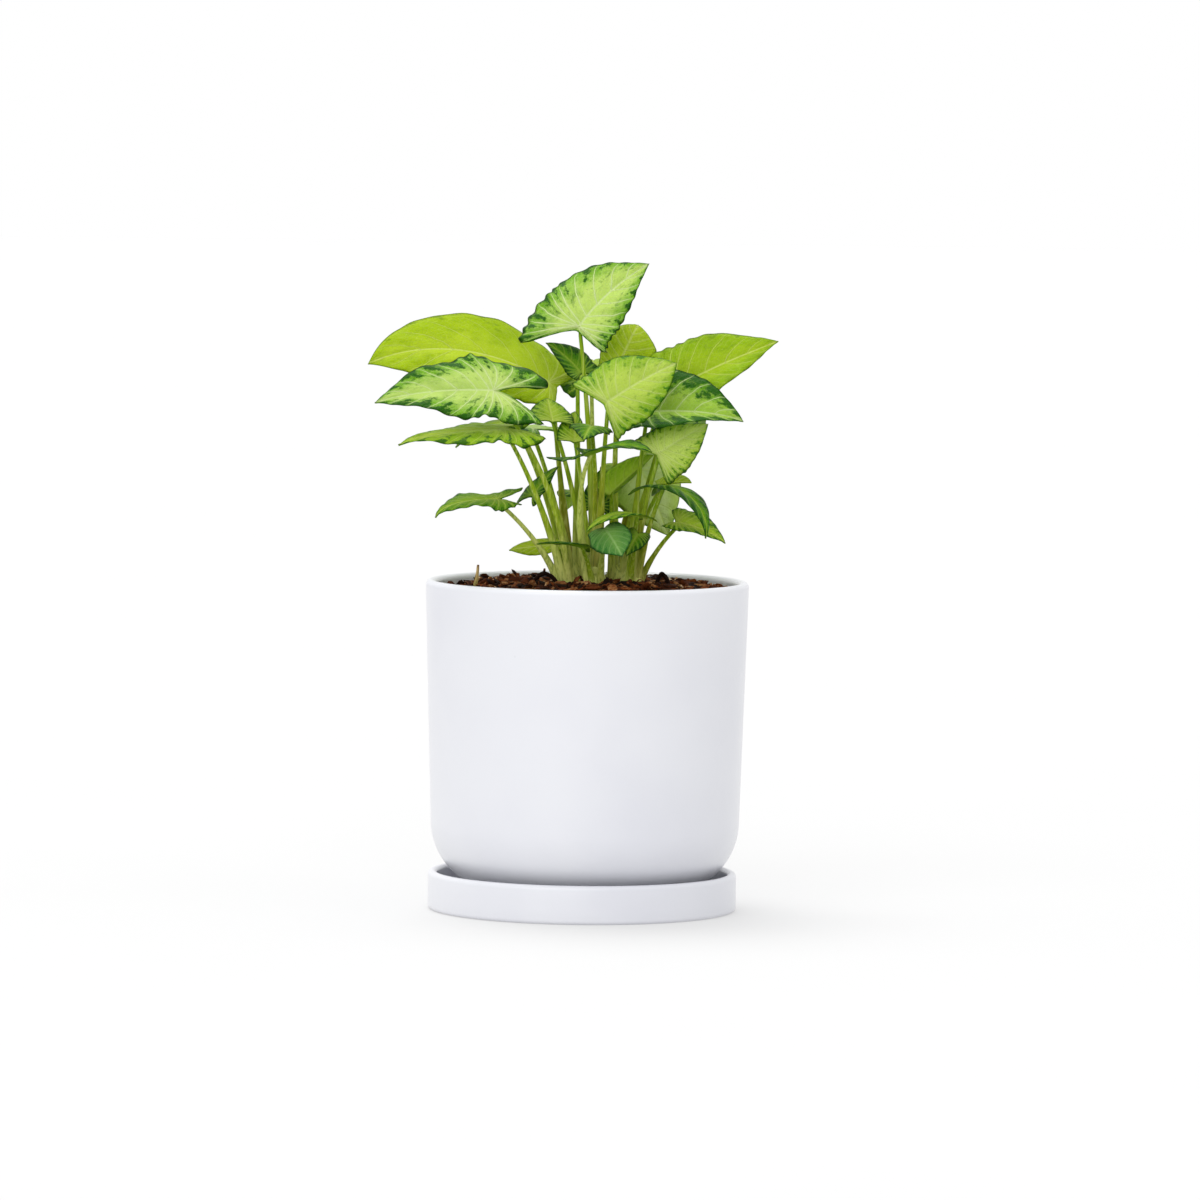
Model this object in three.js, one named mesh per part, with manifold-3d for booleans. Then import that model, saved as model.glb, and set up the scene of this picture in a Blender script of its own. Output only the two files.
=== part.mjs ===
// Potted syngonium: arrow-shaped leaves on long stalks, in a white ceramic pot on its saucer.
// Millimetres, +Z up. The origin is the middle of the saucer's underside, and the front is -Y.
import * as THREE from 'three';
import { mergeVertices } from 'three/addons/utils/BufferGeometryUtils.js';
import Module from 'manifold-3d';

const wasm = await Module();
wasm.setup();

// Driving dimensions
const gap = 0.3;
const mergeLength = 0.05;
const roundSegments = 36;

const saucer = { radius: 76.5, height: 19, wall: 4.5, floor: 5, edge: 2 };

const pot = {
  x: 1.1,
  rimRadius: 80,
  rimHeight: 163.4,
  wallRadius: 76.5,
  corner: 35,
  underside: 9,
  wall: 5,
  footOuter: 40.5,
  footWidth: 5.5,
  notchWidth: 9,
  notchRoof: 0.6,
  drainRadius: 7.5,
};

const mix = { edgeHeight: 155.5, moundHeight: 161.5, roughness: 1.1, rings: 8, segments: 32 };
const chip = { count: 40, reach: 66, length: [7, 13], thickness: 2.4, raised: 0.6, seed: 11 };

// Stalks are rods of a few sides, thick at the foot, that end just ahead of the blade's notch
const stalk = { sides: 6, steps: 6, tipRadius: 1.2, footRadius: 1.5, attachInset: 2.5, bow: [0.4, 0.54] };
const stem = { depth: 24, taper: 0.6, raised: 1 };
const attachRoom = { behind: 1.3, ahead: 7, halfWidth: 5, above: 6 };

// The side veins of the lobes leave the midrib at the part fan of its length
const blade = { thickness: 0.8, rib: 0.8, large: 45, camber: 0.7, droop: 0.3, fan: 0.05 };

// Two arched strands of bark and a withered stalk stub that stand out of the mix
const strands = [
  { from: [-28, -20, 157], over: [-20, -22, 168], to: [-10, -21, 157], radius: 1 },
  { from: [34, -14, 157], over: [38, -16, 168], to: [43, -18, 157], radius: 1 },
];
const stub = { from: [-56, -8, 153], over: [-54, -8, 162], to: [-53, -7.5, 171], radius: 1.6, taper: 0.6 };

// Colours as the photo shows them
const finishes = {
  ceramic: { color: 0xeceef1, roughness: 0.35, metalness: 0 },
  mix: { color: 0x2c1a10, roughness: 0.95, metalness: 0 },
  withered: { color: 0x6f6a2c, roughness: 0.8, metalness: 0 },
  stalk: { color: 0x9db04a, roughness: 0.5, metalness: 0 },
  variegated: { color: 0xa9cf6c, roughness: 0.45, metalness: 0 },
  lime: { color: 0x9fc71f, roughness: 0.45, metalness: 0 },
  pale: { color: 0xb2cc66, roughness: 0.5, metalness: 0 },
  mid: { color: 0x74a51c, roughness: 0.45, metalness: 0 },
  dark: { color: 0x2f6a12, roughness: 0.45, metalness: 0 },
  teal: { color: 0x4f9a68, roughness: 0.45, metalness: 0 },
};

// The six leafy shoots: the middle of each stem at the soil and its radius
const shoots = {
  shoot_left: { at: [-9, -9], radius: 6.5 },
  shoot_front: { at: [5, -15], radius: 6 },
  shoot_right: { at: [23, -7], radius: 6 },
  shoot_middle: { at: [4, 1], radius: 6 },
  shoot_back_left: { at: [-6, 14], radius: 6 },
  shoot_back_right: { at: [16, 13], radius: 6.5 },
};

// Each leaf: its shoot and tone, where the stalk meets the blade, the blade's tip, and the way
// its upper face looks. left and right hold half width, lobe width and lobe length in parts of
// the blade's length, seen on the upper face with the tip up. fold, bend, curl and turn are
// degrees, and wave is the margin's height, count and phase. foot is where the stalk leaves the
// soil, from the middle of its stem, and via is a point that it passes. full makes a rounder
// blade and droop sets how far the lobes hang.
const leaves = {
  leaf_top: {
    shoot: 'shoot_middle', tone: 'variegated',
    attach: [-6, 2, 287], tip: [30, 22, 320], face: [-0.1, -0.9, 0.4],
    left: [0.48, 0.44, 0.3], right: [0.34, 0.34, 0.06], fold: 10, bend: 16, curl: -10, turn: 22,
    wave: [0.03, 4, 0.1], foot: [1, 1],
  },
  leaf_left_lime: {
    shoot: 'shoot_back_left', tone: 'lime',
    attach: [-15, 26, 258], tip: [-109, 10, 269], face: [0, -0.75, 0.65],
    left: [0.25, 0.12, 0.05], right: [0.24, 0.14, 0.04], fold: 10, bend: 14, curl: 12, turn: -58,
    full: 0.8, wave: [0.015, 3, 0.3], foot: [-1, 0], via: [-13, 24, 212],
  },
  leaf_left_variegated: {
    shoot: 'shoot_left', tone: 'variegated',
    attach: [-43, -26, 258], tip: [-104, -40, 252], face: [0, -0.7, 0.7],
    left: [0.34, 0.32, 0.33], right: [0.34, 0.15, 0.42], fold: 17, bend: 16, curl: 8, turn: -8,
    wave: [0.03, 4, 0.1], foot: [2, -2], via: [-19, -24, 210],
  },
  leaf_left_lower: {
    shoot: 'shoot_left', tone: 'mid',
    attach: [-38, -30, 240], tip: [-92, -50, 232], face: [0, -0.2, 0.98],
    left: [0.34, 0.26, 0.24], right: [0.34, 0.26, 0.24], fold: 4, bend: 12, curl: 10, turn: 0,
    wave: [0.03, 3, 0.5], foot: [-1, -3], via: [-24, -22, 205],
  },
  leaf_left_under: {
    shoot: 'shoot_back_left', tone: 'mid',
    attach: [-34, 9, 243], tip: [-65, -6, 229], face: [-0.2, -0.2, 0.95],
    left: [0.34, 0.24, 0.14], right: [0.34, 0.24, 0.14], fold: 6, bend: 25, curl: 10, turn: 0,
    wave: [0.03, 3, 0.2], foot: [-3, -2],
  },
  leaf_centre_olive: {
    shoot: 'shoot_middle', tone: 'mid',
    attach: [-17, -6, 242], tip: [-20, 14, 253], face: [0, 0.3, 0.95],
    left: [0.52, 0.46, 0.02], right: [0.5, 0.4, 0.04], fold: 16, bend: 12, curl: 0, turn: 0,
    wave: [0.02, 2, 0.2], foot: [-3, 1],
  },
  leaf_centre_rolled: {
    shoot: 'shoot_middle', tone: 'mid',
    attach: [-6, -8, 232], tip: [-6, 8, 247], face: [0, 0.45, 0.9],
    left: [0.4, 0.32, 0.02], right: [0.24, 0.16, 0.02], fold: 30, bend: 10, curl: 0, turn: 0,
    wave: [0.02, 2, 0.2], foot: [-2, -3],
  },
  leaf_centre_broad: {
    shoot: 'shoot_front', tone: 'pale',
    attach: [8, -30, 252], tip: [44, -12, 272], face: [0, -0.85, 0.5],
    left: [0.48, 0.42, 0.12], right: [0.42, 0.42, 0.12], fold: 8, bend: 21, curl: 6, turn: 0,
    full: 0.3, wave: [0.02, 3, 0.2], foot: [1, 2],
  },
  leaf_centre_toothed: {
    shoot: 'shoot_front', tone: 'dark',
    attach: [2.6, -37, 242], tip: [-1.5, -64, 236], face: [0.1, -0.3, 0.95],
    left: [0.38, 0.3, 0.2], right: [0.38, 0.3, 0.2], fold: 8, bend: 25, curl: 0, turn: 0,
    wave: [0.03, 4, 0.2], foot: [-1, 1], via: [4.5, -17, 208],
  },
  leaf_right_lime: {
    shoot: 'shoot_back_right', tone: 'lime',
    attach: [40, 10, 257], tip: [94, 0, 283], face: [0, -0.8, 0.6],
    left: [0.36, 0.34, 0.2], right: [0.3, 0.26, 0.2], fold: 20, bend: 14, curl: -10, turn: 6,
    wave: [0.025, 4, 0.4], foot: [1, -1], via: [31, 8, 212],
  },
  leaf_right_variegated: {
    shoot: 'shoot_right', tone: 'variegated',
    attach: [27, 0, 247], tip: [77, -20, 244], face: [0, -0.73, 0.68],
    left: [0.4, 0.3, 0.2], right: [0.36, 0.3, 0.14], fold: 34, bend: 16, curl: 16, turn: 6,
    wave: [0.02, 4, 0.1], foot: [-1, 1],
  },
  leaf_right_lower: {
    shoot: 'shoot_right', tone: 'pale',
    attach: [34, -20, 227], tip: [60, -6, 242], face: [0, -0.9, 0.45],
    left: [0.4, 0.34, 0.2], right: [0.46, 0.44, 0.12], fold: 7, bend: 18, curl: 0, turn: 0,
    wave: [0.02, 3, 0.2], foot: [0, -2],
  },
  leaf_front_arched: {
    shoot: 'shoot_front', tone: 'dark',
    attach: [0, -46, 228], tip: [32, -72, 231], face: [0, -0.2, 1],
    left: [0.34, 0.28, 0.3], right: [0.34, 0.3, 0.3], fold: 14, bend: 34, curl: 10, droop: -2, turn: 0,
    wave: [0.02, 3, 0.2], foot: [-2, -2], via: [-3, -28, 200],
  },
  leaf_spear: {
    shoot: 'shoot_back_right', tone: 'mid',
    attach: [10, -6, 206], tip: [33, 4, 226], face: [0.1, 0.8, 0.5],
    left: [0.2, 0.1, 0.02], right: [0.2, 0.1, 0.02], fold: 50, bend: 6, curl: 0, turn: 0,
    full: 0.5, wave: [0.01, 2, 0.2], foot: [-3, -2],
  },
  leaf_back_pale: {
    shoot: 'shoot_back_right', tone: 'pale',
    attach: [26, 22, 220], tip: [41, 32, 184], face: [0.1, -0.9, 0.4],
    left: [0.5, 0.4, 0.2], right: [0.5, 0.4, 0.2], fold: 8, bend: 20, curl: 10, turn: 0,
    wave: [0.02, 3, 0.2], foot: [0, 2], via: [20, 27, 195],
  },
  leaf_right_hooked: {
    shoot: 'shoot_right', tone: 'dark',
    attach: [36, -20, 212], tip: [59, -38, 187], face: [0.5, -0.3, 0.8],
    left: [0.28, 0.24, 0.3], right: [0.28, 0.24, 0.3], fold: 8, bend: 86, curl: 20, turn: 0,
    wave: [0.01, 3, 0.2], foot: [2, -1],
  },
  leaf_right_rolled: {
    shoot: 'shoot_back_right', tone: 'lime',
    attach: [35, 2, 211], tip: [52, -4, 213], face: [0, -0.4, 0.9],
    left: [0.3, 0.2, 0.1], right: [0.3, 0.2, 0.1], fold: 30, bend: 20, curl: 0, turn: 0,
    full: 1, wave: [0.01, 2, 0.2], foot: [3, 0],
  },
  leaf_right_low: {
    shoot: 'shoot_right', tone: 'mid',
    attach: [44, -14, 194], tip: [69, -22, 184], face: [0.2, -0.6, 0.8],
    left: [0.38, 0.3, 0.2], right: [0.3, 0.24, 0.14], fold: 20, bend: 30, curl: 10, turn: 0,
    wave: [0.02, 3, 0.2], foot: [3, 2],
  },
  leaf_left_low: {
    shoot: 'shoot_left', tone: 'mid',
    attach: [-42, -28, 205], tip: [-74, -40, 196], face: [-0.1, -0.3, 0.95],
    left: [0.34, 0.26, 0.2], right: [0.4, 0.3, 0.42], fold: 8, bend: 20, curl: 50, droop: -0.8, turn: 0,
    wave: [0.04, 3, 0.2], foot: [-3, -2],
  },
  leaf_left_small: {
    shoot: 'shoot_left', tone: 'dark',
    attach: [-27, -8, 205], tip: [-14, -2, 220], face: [-0.4, -0.5, 0.75],
    left: [0.44, 0.7, 0.4], right: [0.3, 0.2, 0.2], fold: 10, bend: 20, curl: 0, turn: 0,
    wave: [0.02, 2, 0.2], foot: [-3, 2],
  },
  leaf_left_yellow: {
    shoot: 'shoot_back_left', tone: 'lime',
    attach: [-13, 4, 181], tip: [-38, 2, 178], face: [0, -0.6, 0.8],
    left: [0.26, 0.12, 0.04], right: [0.26, 0.12, 0.04], fold: 4, bend: 10, curl: 0, turn: 0,
    full: 0.8, wave: [0.01, 2, 0.2], foot: [-1, -3],
  },
  leaf_front_thin: {
    shoot: 'shoot_front', tone: 'dark',
    attach: [1, -32, 182], tip: [-24, -42, 184], face: [0, 0.1, 1],
    left: [0.3, 0.22, 0.16], right: [0.3, 0.22, 0.16], fold: 8, bend: 24, curl: 0, turn: 0,
    wave: [0.03, 2, 0.2], foot: [-1, -3],
  },
  leaf_front_teal: {
    shoot: 'shoot_front', tone: 'teal',
    attach: [9, -36, 192], tip: [18, -54, 179], face: [0, -0.9, 0.4],
    left: [0.46, 0.34, 0.16], right: [0.46, 0.34, 0.16], fold: 4, bend: 30, curl: 0, turn: 0,
    full: 0.6, wave: [0.02, 2, 0.2], foot: [2, -2],
  },
  leaf_front_arch: {
    shoot: 'shoot_right', tone: 'mid',
    attach: [28, -26, 197], tip: [0, -44, 190], face: [-0.1, -0.1, 1],
    left: [0.28, 0.2, 0.14], right: [0.28, 0.2, 0.14], fold: 10, bend: 60, curl: 0, turn: 0,
    wave: [0.02, 2, 0.2], foot: [-2, -3],
  },
  leaf_right_small: {
    shoot: 'shoot_right', tone: 'dark',
    attach: [26, -27, 189], tip: [20, -37, 178], face: [0, -0.8, 0.5],
    left: [0.4, 0.3, 0.2], right: [0.4, 0.3, 0.2], fold: 6, bend: 20, curl: 0, turn: 0,
    wave: [0.02, 2, 0.2], foot: [-1, -3],
  },
  leaf_upper_lime: {
    shoot: 'shoot_back_right', tone: 'lime',
    attach: [14, 30, 266], tip: [25, 38, 289], face: [0, -0.9, 0.3],
    left: [0.5, 0.4, 0.1], right: [0.6, 0.4, 0.1], fold: 4, bend: 24, curl: 50, turn: 0,
    full: 1, wave: [0.01, 3, 0.2], foot: [-2, 1], via: [14, 14, 214],
  },
  leaf_upper_dark: {
    shoot: 'shoot_back_left', tone: 'dark',
    attach: [-3, 20, 265], tip: [-21, 28, 280], face: [0.2, -0.7, 0.6],
    left: [0.3, 0.2, 0.1], right: [0.4, 0.3, 0.2], fold: 20, bend: 10, curl: 0, turn: -20,
    wave: [0.02, 3, 0.2], foot: [2, 0],
  },
  leaf_inner_dark: {
    shoot: 'shoot_middle', tone: 'dark',
    attach: [5, 9, 200], tip: [7, 14, 218], face: [0, -0.9, 0.4],
    left: [0.4, 0.3, 0.2], right: [0.4, 0.3, 0.2], fold: 10, bend: 10, curl: 0, turn: 0,
    wave: [0.02, 2, 0.2], foot: [2, 2],
  },
  leaf_back_left: {
    shoot: 'shoot_back_left', tone: 'variegated',
    attach: [-26, 44, 236], tip: [-58, 84, 226], face: [-0.1, 0.2, 0.95],
    left: [0.38, 0.24, 0.3], right: [0.38, 0.24, 0.3], fold: 14, bend: 30, curl: 10, turn: 10,
    wave: [0.03, 4, 0.7], foot: [-2, 3],
  },
  leaf_back_right: {
    shoot: 'shoot_back_right', tone: 'variegated',
    attach: [32, 46, 240], tip: [58, 88, 232], face: [0.1, 0.3, 0.95],
    left: [0.38, 0.24, 0.3], right: [0.38, 0.24, 0.3], fold: 14, bend: 30, curl: 10, turn: -10,
    wave: [0.03, 4, 0.4], foot: [2, 3],
  },
  leaf_back_middle: {
    shoot: 'shoot_middle', tone: 'mid',
    attach: [2, 40, 262], tip: [4, 84, 268], face: [0, 0.1, 1],
    left: [0.38, 0.24, 0.3], right: [0.38, 0.24, 0.3], fold: 14, bend: 34, curl: 10, turn: 16,
    wave: [0.03, 3, 0.9], foot: [0, 3],
  },
  leaf_back_low: {
    shoot: 'shoot_back_left', tone: 'mid',
    attach: [0, 46, 204], tip: [-10, 78, 194], face: [0, 0.3, 0.95],
    left: [0.36, 0.24, 0.26], right: [0.36, 0.24, 0.26], fold: 12, bend: 40, curl: 10, turn: 0,
    wave: [0.03, 3, 0.6], foot: [1, 3],
  },
};

// Geometry helpers

const vector = ([x, y, z]) => new THREE.Vector3(x, y, z);

function meshOf(points, triangles) {
  const geometry = new THREE.BufferGeometry();
  geometry.setAttribute('position', new THREE.Float32BufferAttribute(points, 3));
  geometry.setIndex(triangles);
  return geometry;
}

function signedVolume(positions, triangles) {
  const corner = [0, 1, 2].map(() => new THREE.Vector3());
  let sum = 0;
  for (let i = 0; i < triangles.length; i += 3) {
    corner.forEach((point, k) => point.fromArray(positions, 3 * triangles[i + k]));
    sum += corner[0].dot(corner[1].clone().cross(corner[2]));
  }
  return sum / 6;
}

// Merges equal points, drops triangles that have lost an edge, and turns the faces outward
function closedGeometry(geometry) {
  const bare = new THREE.BufferGeometry();
  bare.setAttribute('position', geometry.getAttribute('position'));
  const count = geometry.getAttribute('position').count;
  bare.setIndex(geometry.index ? Array.from(geometry.index.array) : [...Array(count).keys()]);
  const merged = mergeVertices(bare, 1e-3);
  const triangles = [];
  const index = merged.index.array;
  for (let i = 0; i < index.length; i += 3) {
    const [a, b, c] = [index[i], index[i + 1], index[i + 2]];
    if (a !== b && b !== c && c !== a) triangles.push(a, b, c);
  }
  if (signedVolume(merged.getAttribute('position').array, triangles) < 0) triangles.reverse();
  merged.setIndex(triangles);
  return merged;
}

function toSolid(geometry) {
  const closed = closedGeometry(geometry);
  const vertProperties = new Float32Array(closed.getAttribute('position').array);
  const triVerts = new Uint32Array(closed.index.array);
  return new wasm.Manifold(new wasm.Mesh({ numProp: 3, vertProperties, triVerts }));
}

function toGeometry(solid) {
  const { vertProperties, triVerts } = solid.getMesh();
  return meshOf(Array.from(vertProperties), Array.from(triVerts));
}

const joined = (solids) => solids.reduce((sum, solid) => sum.add(solid));

// The largest body of a solid, once its close points are merged
function largest(solid) {
  const merged = toSolid(toGeometry(solid.simplify(mergeLength)));
  return merged.decompose().sort((a, b) => b.volume() - a.volume())[0];
}

// Seeded draws between 0 and 1
function randomDraws(seed) {
  let state = seed;
  return () => {
    state = (state * 16807) % 2147483647;
    return state / 2147483647;
  };
}

// Points of an arc in the profile plane, from one angle to another in degrees
function arc(x, z, radius, from, to, steps) {
  return Array.from({ length: steps + 1 }, (_, i) => {
    const angle = THREE.MathUtils.degToRad(from + ((to - from) * i) / steps);
    return [x + radius * Math.cos(angle), z + radius * Math.sin(angle)];
  });
}

function turned(profile, segments = roundSegments) {
  const points = profile.map(([radius, z]) => new THREE.Vector2(radius, z));
  return new THREE.LatheGeometry(points, segments).rotateX(Math.PI / 2);
}

// Saucer: a flat dish with a rounded foot edge and lip
function saucerGeometry() {
  const { radius, height, wall, floor, edge } = saucer;
  const lip = wall / 2;
  return turned([
    [0, 0],
    ...arc(radius - edge, edge, edge, -90, 0, 2),
    ...arc(radius - lip, height - lip, lip, 0, 180, 4),
    ...arc(radius - wall - edge, floor + edge, edge, 0, -90, 2),
    [0, floor],
  ]);
}

// Pot: a straight slightly flared wall, a large rounded corner and a foot ring. The inside
// follows the outside one wall thickness in, and the profile closes round the drain hole.
const cornerX = pot.wallRadius - pot.corner;
const cornerZ = pot.underside + pot.corner;
const footBottom = saucer.floor + gap;

function potGeometry() {
  const { rimRadius, rimHeight, corner, underside, wall, footOuter, footWidth, drainRadius } = pot;
  const lip = wall / 2;
  const floorTop = underside + wall;
  const profile = [
    [drainRadius, underside],
    [footOuter - footWidth, underside],
    [footOuter - footWidth, footBottom],
    [footOuter, footBottom],
    ...arc(cornerX, cornerZ, corner, -90, 0, 6),
    ...arc(rimRadius - lip, rimHeight - lip, lip, 0, 180, 4),
    ...arc(cornerX, cornerZ, corner - wall, 0, -90, 4),
    [drainRadius, floorTop],
    [drainRadius, underside],
  ];
  const shell = toSolid(turned(profile));
  const notchTop = underside - pot.notchRoof;
  const notch = new THREE.BoxGeometry(3 * footOuter, pot.notchWidth, 2 * (notchTop - footBottom));
  notch.translate(0, 0, footBottom);
  const notches = [0, 90].map((angle) => {
    return toSolid(notch.clone().rotateZ(THREE.MathUtils.degToRad(angle + 45)));
  });
  return toGeometry(shell.subtract(joined(notches)));
}

// Radius of the pot's inner wall above its corner
function innerRadius(z) {
  const rise = (z - cornerZ) / (pot.rimHeight - cornerZ);
  return pot.wallRadius - pot.wall + rise * (pot.rimRadius - pot.wallRadius);
}

// Top of the potting mix: a mound, highest in the middle, with lumps of two sizes
function mixHeight(x, y) {
  const out = Math.hypot(x - pot.x, y) / innerRadius(mix.edgeHeight);
  const mound = THREE.MathUtils.lerp(mix.moundHeight, mix.edgeHeight, out ** 4);
  const lumps = Math.sin(0.31 * x + 1.3) * Math.cos(0.27 * y - 0.4);
  const grains = Math.sin(0.83 * x - 0.55 * y) * Math.sin(0.47 * x + 0.91 * y + 2);
  return mound + mix.roughness * (lumps + 0.6 * grains) * (1 - out ** 8);
}

function mixBody() {
  const { segments, rings } = mix;
  const floor = pot.underside + pot.wall + gap;
  const side = arc(cornerX, cornerZ, pot.corner - pot.wall - gap, -90, 0, 4);
  const rim = innerRadius(mix.edgeHeight) - gap;
  const points = [];
  const addLoop = (radius, height) => {
    for (let i = 0; i < segments; i += 1) {
      const angle = (2 * Math.PI * i) / segments;
      const [x, y] = [pot.x + radius * Math.cos(angle), radius * Math.sin(angle)];
      points.push(x, y, height ?? mixHeight(x, y));
    }
  };
  side.forEach(([radius, z]) => addLoop(radius, z));
  for (let ring = rings; ring >= 1; ring -= 1) addLoop((rim * ring) / rings);
  const loops = side.length + rings;
  const middle = points.length / 3;
  points.push(pot.x, 0, floor, pot.x, 0, mixHeight(pot.x, 0));
  const triangles = [];
  for (let i = 0; i < segments; i += 1) {
    const next = (i + 1) % segments;
    triangles.push(middle, next, i);
    for (let loop = 0; loop < loops - 1; loop += 1) {
      const [a, b] = [loop * segments + i, loop * segments + next];
      triangles.push(a, b, b + segments, a, b + segments, a + segments);
    }
    const last = (loops - 1) * segments;
    triangles.push(last + i, last + next, middle + 1);
  }
  return toSolid(meshOf(points, triangles));
}

// Bark chips: small slabs, each tipped and turned, half sunk in the top of the mix
function barkChips() {
  const draw = randomDraws(chip.seed);
  const between = (low, high) => low + (high - low) * draw();
  return Array.from({ length: chip.count }, () => {
    const radius = chip.reach * Math.sqrt(between(0.2, 1));
    const angle = between(0, 2 * Math.PI);
    const length = between(...chip.length);
    const slab = new THREE.BoxGeometry(length, length * between(0.35, 0.6), chip.thickness);
    slab.rotateX(between(-0.45, 0.45)).rotateY(between(-0.35, 0.35)).rotateZ(between(0, 2 * Math.PI));
    const [x, y] = [pot.x + radius * Math.cos(angle), radius * Math.sin(angle)];
    return toSolid(slab.translate(x, y, mixHeight(x, y) + chip.raised));
  });
}

// A round tapering rod along a curve that lies in one plane. Its rings stand square to the
// curve, turned to the plane's own normal.
function rodGeometry(curve, normal, radiusAt, sides, steps) {
  const points = [];
  for (let i = 0; i <= steps; i += 1) {
    const middle = curve.getPoint(i / steps);
    const across = normal.clone().cross(curve.getTangent(i / steps));
    for (let k = 0; k < sides; k += 1) {
      const angle = (2 * Math.PI * k) / sides;
      const point = middle.clone();
      point.addScaledVector(normal, radiusAt(i / steps) * Math.cos(angle));
      point.addScaledVector(across, radiusAt(i / steps) * Math.sin(angle));
      points.push(...point.toArray());
    }
  }
  const triangles = [];
  for (let i = 0; i < steps; i += 1) {
    for (let k = 0; k < sides; k += 1) {
      const [a, b] = [i * sides + k, i * sides + ((k + 1) % sides)];
      triangles.push(a, b, b + sides, a, b + sides, a + sides);
    }
  }
  const top = steps * sides;
  for (let k = 1; k < sides - 1; k += 1) triangles.push(0, k + 1, k, top, top + k, top + k + 1);
  return meshOf(points, triangles);
}

// The parabola from one point over a second to a third, and the normal of its plane
function parabola(from, over, to) {
  const control = over.clone().multiplyScalar(2).addScaledVector(from.clone().add(to), -0.5);
  const curve = new THREE.QuadraticBezierCurve3(from, control, to);
  return { curve, normal: to.clone().sub(from).cross(over.clone().sub(from)).normalize() };
}

function barkStrand({ from, over, to, radius }) {
  const { curve, normal } = parabola(vector(from), vector(over), vector(to));
  return toSolid(rodGeometry(curve, normal, () => radius, 5, 6));
}

// Withered stub of a cut stalk, leaning at the edge of the mix
function stubSolid(extra = 0) {
  const { from, over, to, radius, taper } = stub;
  const { curve, normal } = parabola(vector(from), vector(over), vector(to));
  return toSolid(rodGeometry(curve, normal, (u) => radius * (1 - taper * u) + extra, 5, 4));
}

// Potting mix: the mound with its chips and strands, and a plain hole round every stem and the
// withered stub
function mixGeometry() {
  const body = joined([mixBody(), ...barkChips(), ...strands.map(barkStrand)]);
  const holes = Object.values(shoots).map((shoot) => stemSolid(shoot, gap));
  return toGeometry(largest(body.subtract(joined([...holes, stubSolid(gap)]))));
}

// Leaf blade

// Half outline, from the notch at the stalk over the lobe to the tip: across, along, and the
// point of the midrib that the vein to this place leaves from. full moves the widest part from
// the base towards the middle.
function marginCurve([width, lobeX, lobeY], full = 0) {
  const points = [
    [0, 0, blade.fan],
    [0.44 * lobeX, -0.5 * lobeY, blade.fan],
    [lobeX, -lobeY, blade.fan],
    [0.36 * lobeX + (0.72 - 0.3 * full) * width, -0.42 * lobeY, blade.fan],
    [(1 - 0.2 * full) * width, 0.12 + 0.03 * full, blade.fan],
    [0.97 * width + 0.03 * full * width, 0.3 + 0.1 * full, 0.13 + 0.05 * full],
    [(0.7 + 0.15 * full) * width, 0.58 + 0.1 * full, 0.38 + 0.06 * full],
    [(0.3 + 0.15 * full) * width, 0.83 + 0.04 * full, 0.7],
    [0, 1, 1],
  ];
  return new THREE.CatmullRomCurve3(points.map(vector), false, 'catmullrom', 0.5);
}

// The midrib at a distance y from the stalk: the mean direction over eight steps, times y. It
// bends down by bend and curl, and turns sideways in the blade's plane by turn.
function midribAt(leaf, y) {
  const directionAt = (u) => {
    const down = THREE.MathUtils.degToRad(leaf.bend * u + leaf.curl * u ** 5);
    const aside = THREE.MathUtils.degToRad(leaf.turn * u);
    const [cosDown, sinDown] = [Math.cos(down), Math.sin(down)];
    const [cosAside, sinAside] = [Math.cos(aside), Math.sin(aside)];
    return {
      along: new THREE.Vector3(sinAside * cosDown, cosAside * cosDown, -sinDown),
      across: new THREE.Vector3(cosAside, -sinAside, 0),
      up: new THREE.Vector3(sinAside * sinDown, cosAside * sinDown, cosDown),
    };
  };
  const point = new THREE.Vector3();
  for (let i = 0; i < 8; i += 1) {
    point.addScaledVector(directionAt((y * (i + 0.5)) / 8).along, y / 8);
  }
  return { point, ...directionAt(y) };
}

// The frame that lays the blade's chord from attach to tip, with the face turned as asked: a
// matrix that takes the blade's own axes, across, along and up, to the plant's
function bladeFrame(leaf) {
  const square = (facing, chord) => {
    const up = facing.clone().addScaledVector(chord, -facing.dot(chord)).normalize();
    return new THREE.Matrix4().makeBasis(chord.clone().cross(up), chord, up);
  };
  const end = midribAt(leaf, 1).point;
  const chord = vector(leaf.tip).sub(vector(leaf.attach));
  const length = chord.length() / end.length();
  const own = square(new THREE.Vector3(0, 0, 1), end.normalize());
  const inPlant = square(vector(leaf.face), chord.normalize());
  return { matrix: inPlant.multiply(own.transpose()), origin: vector(leaf.attach), length };
}

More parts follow.
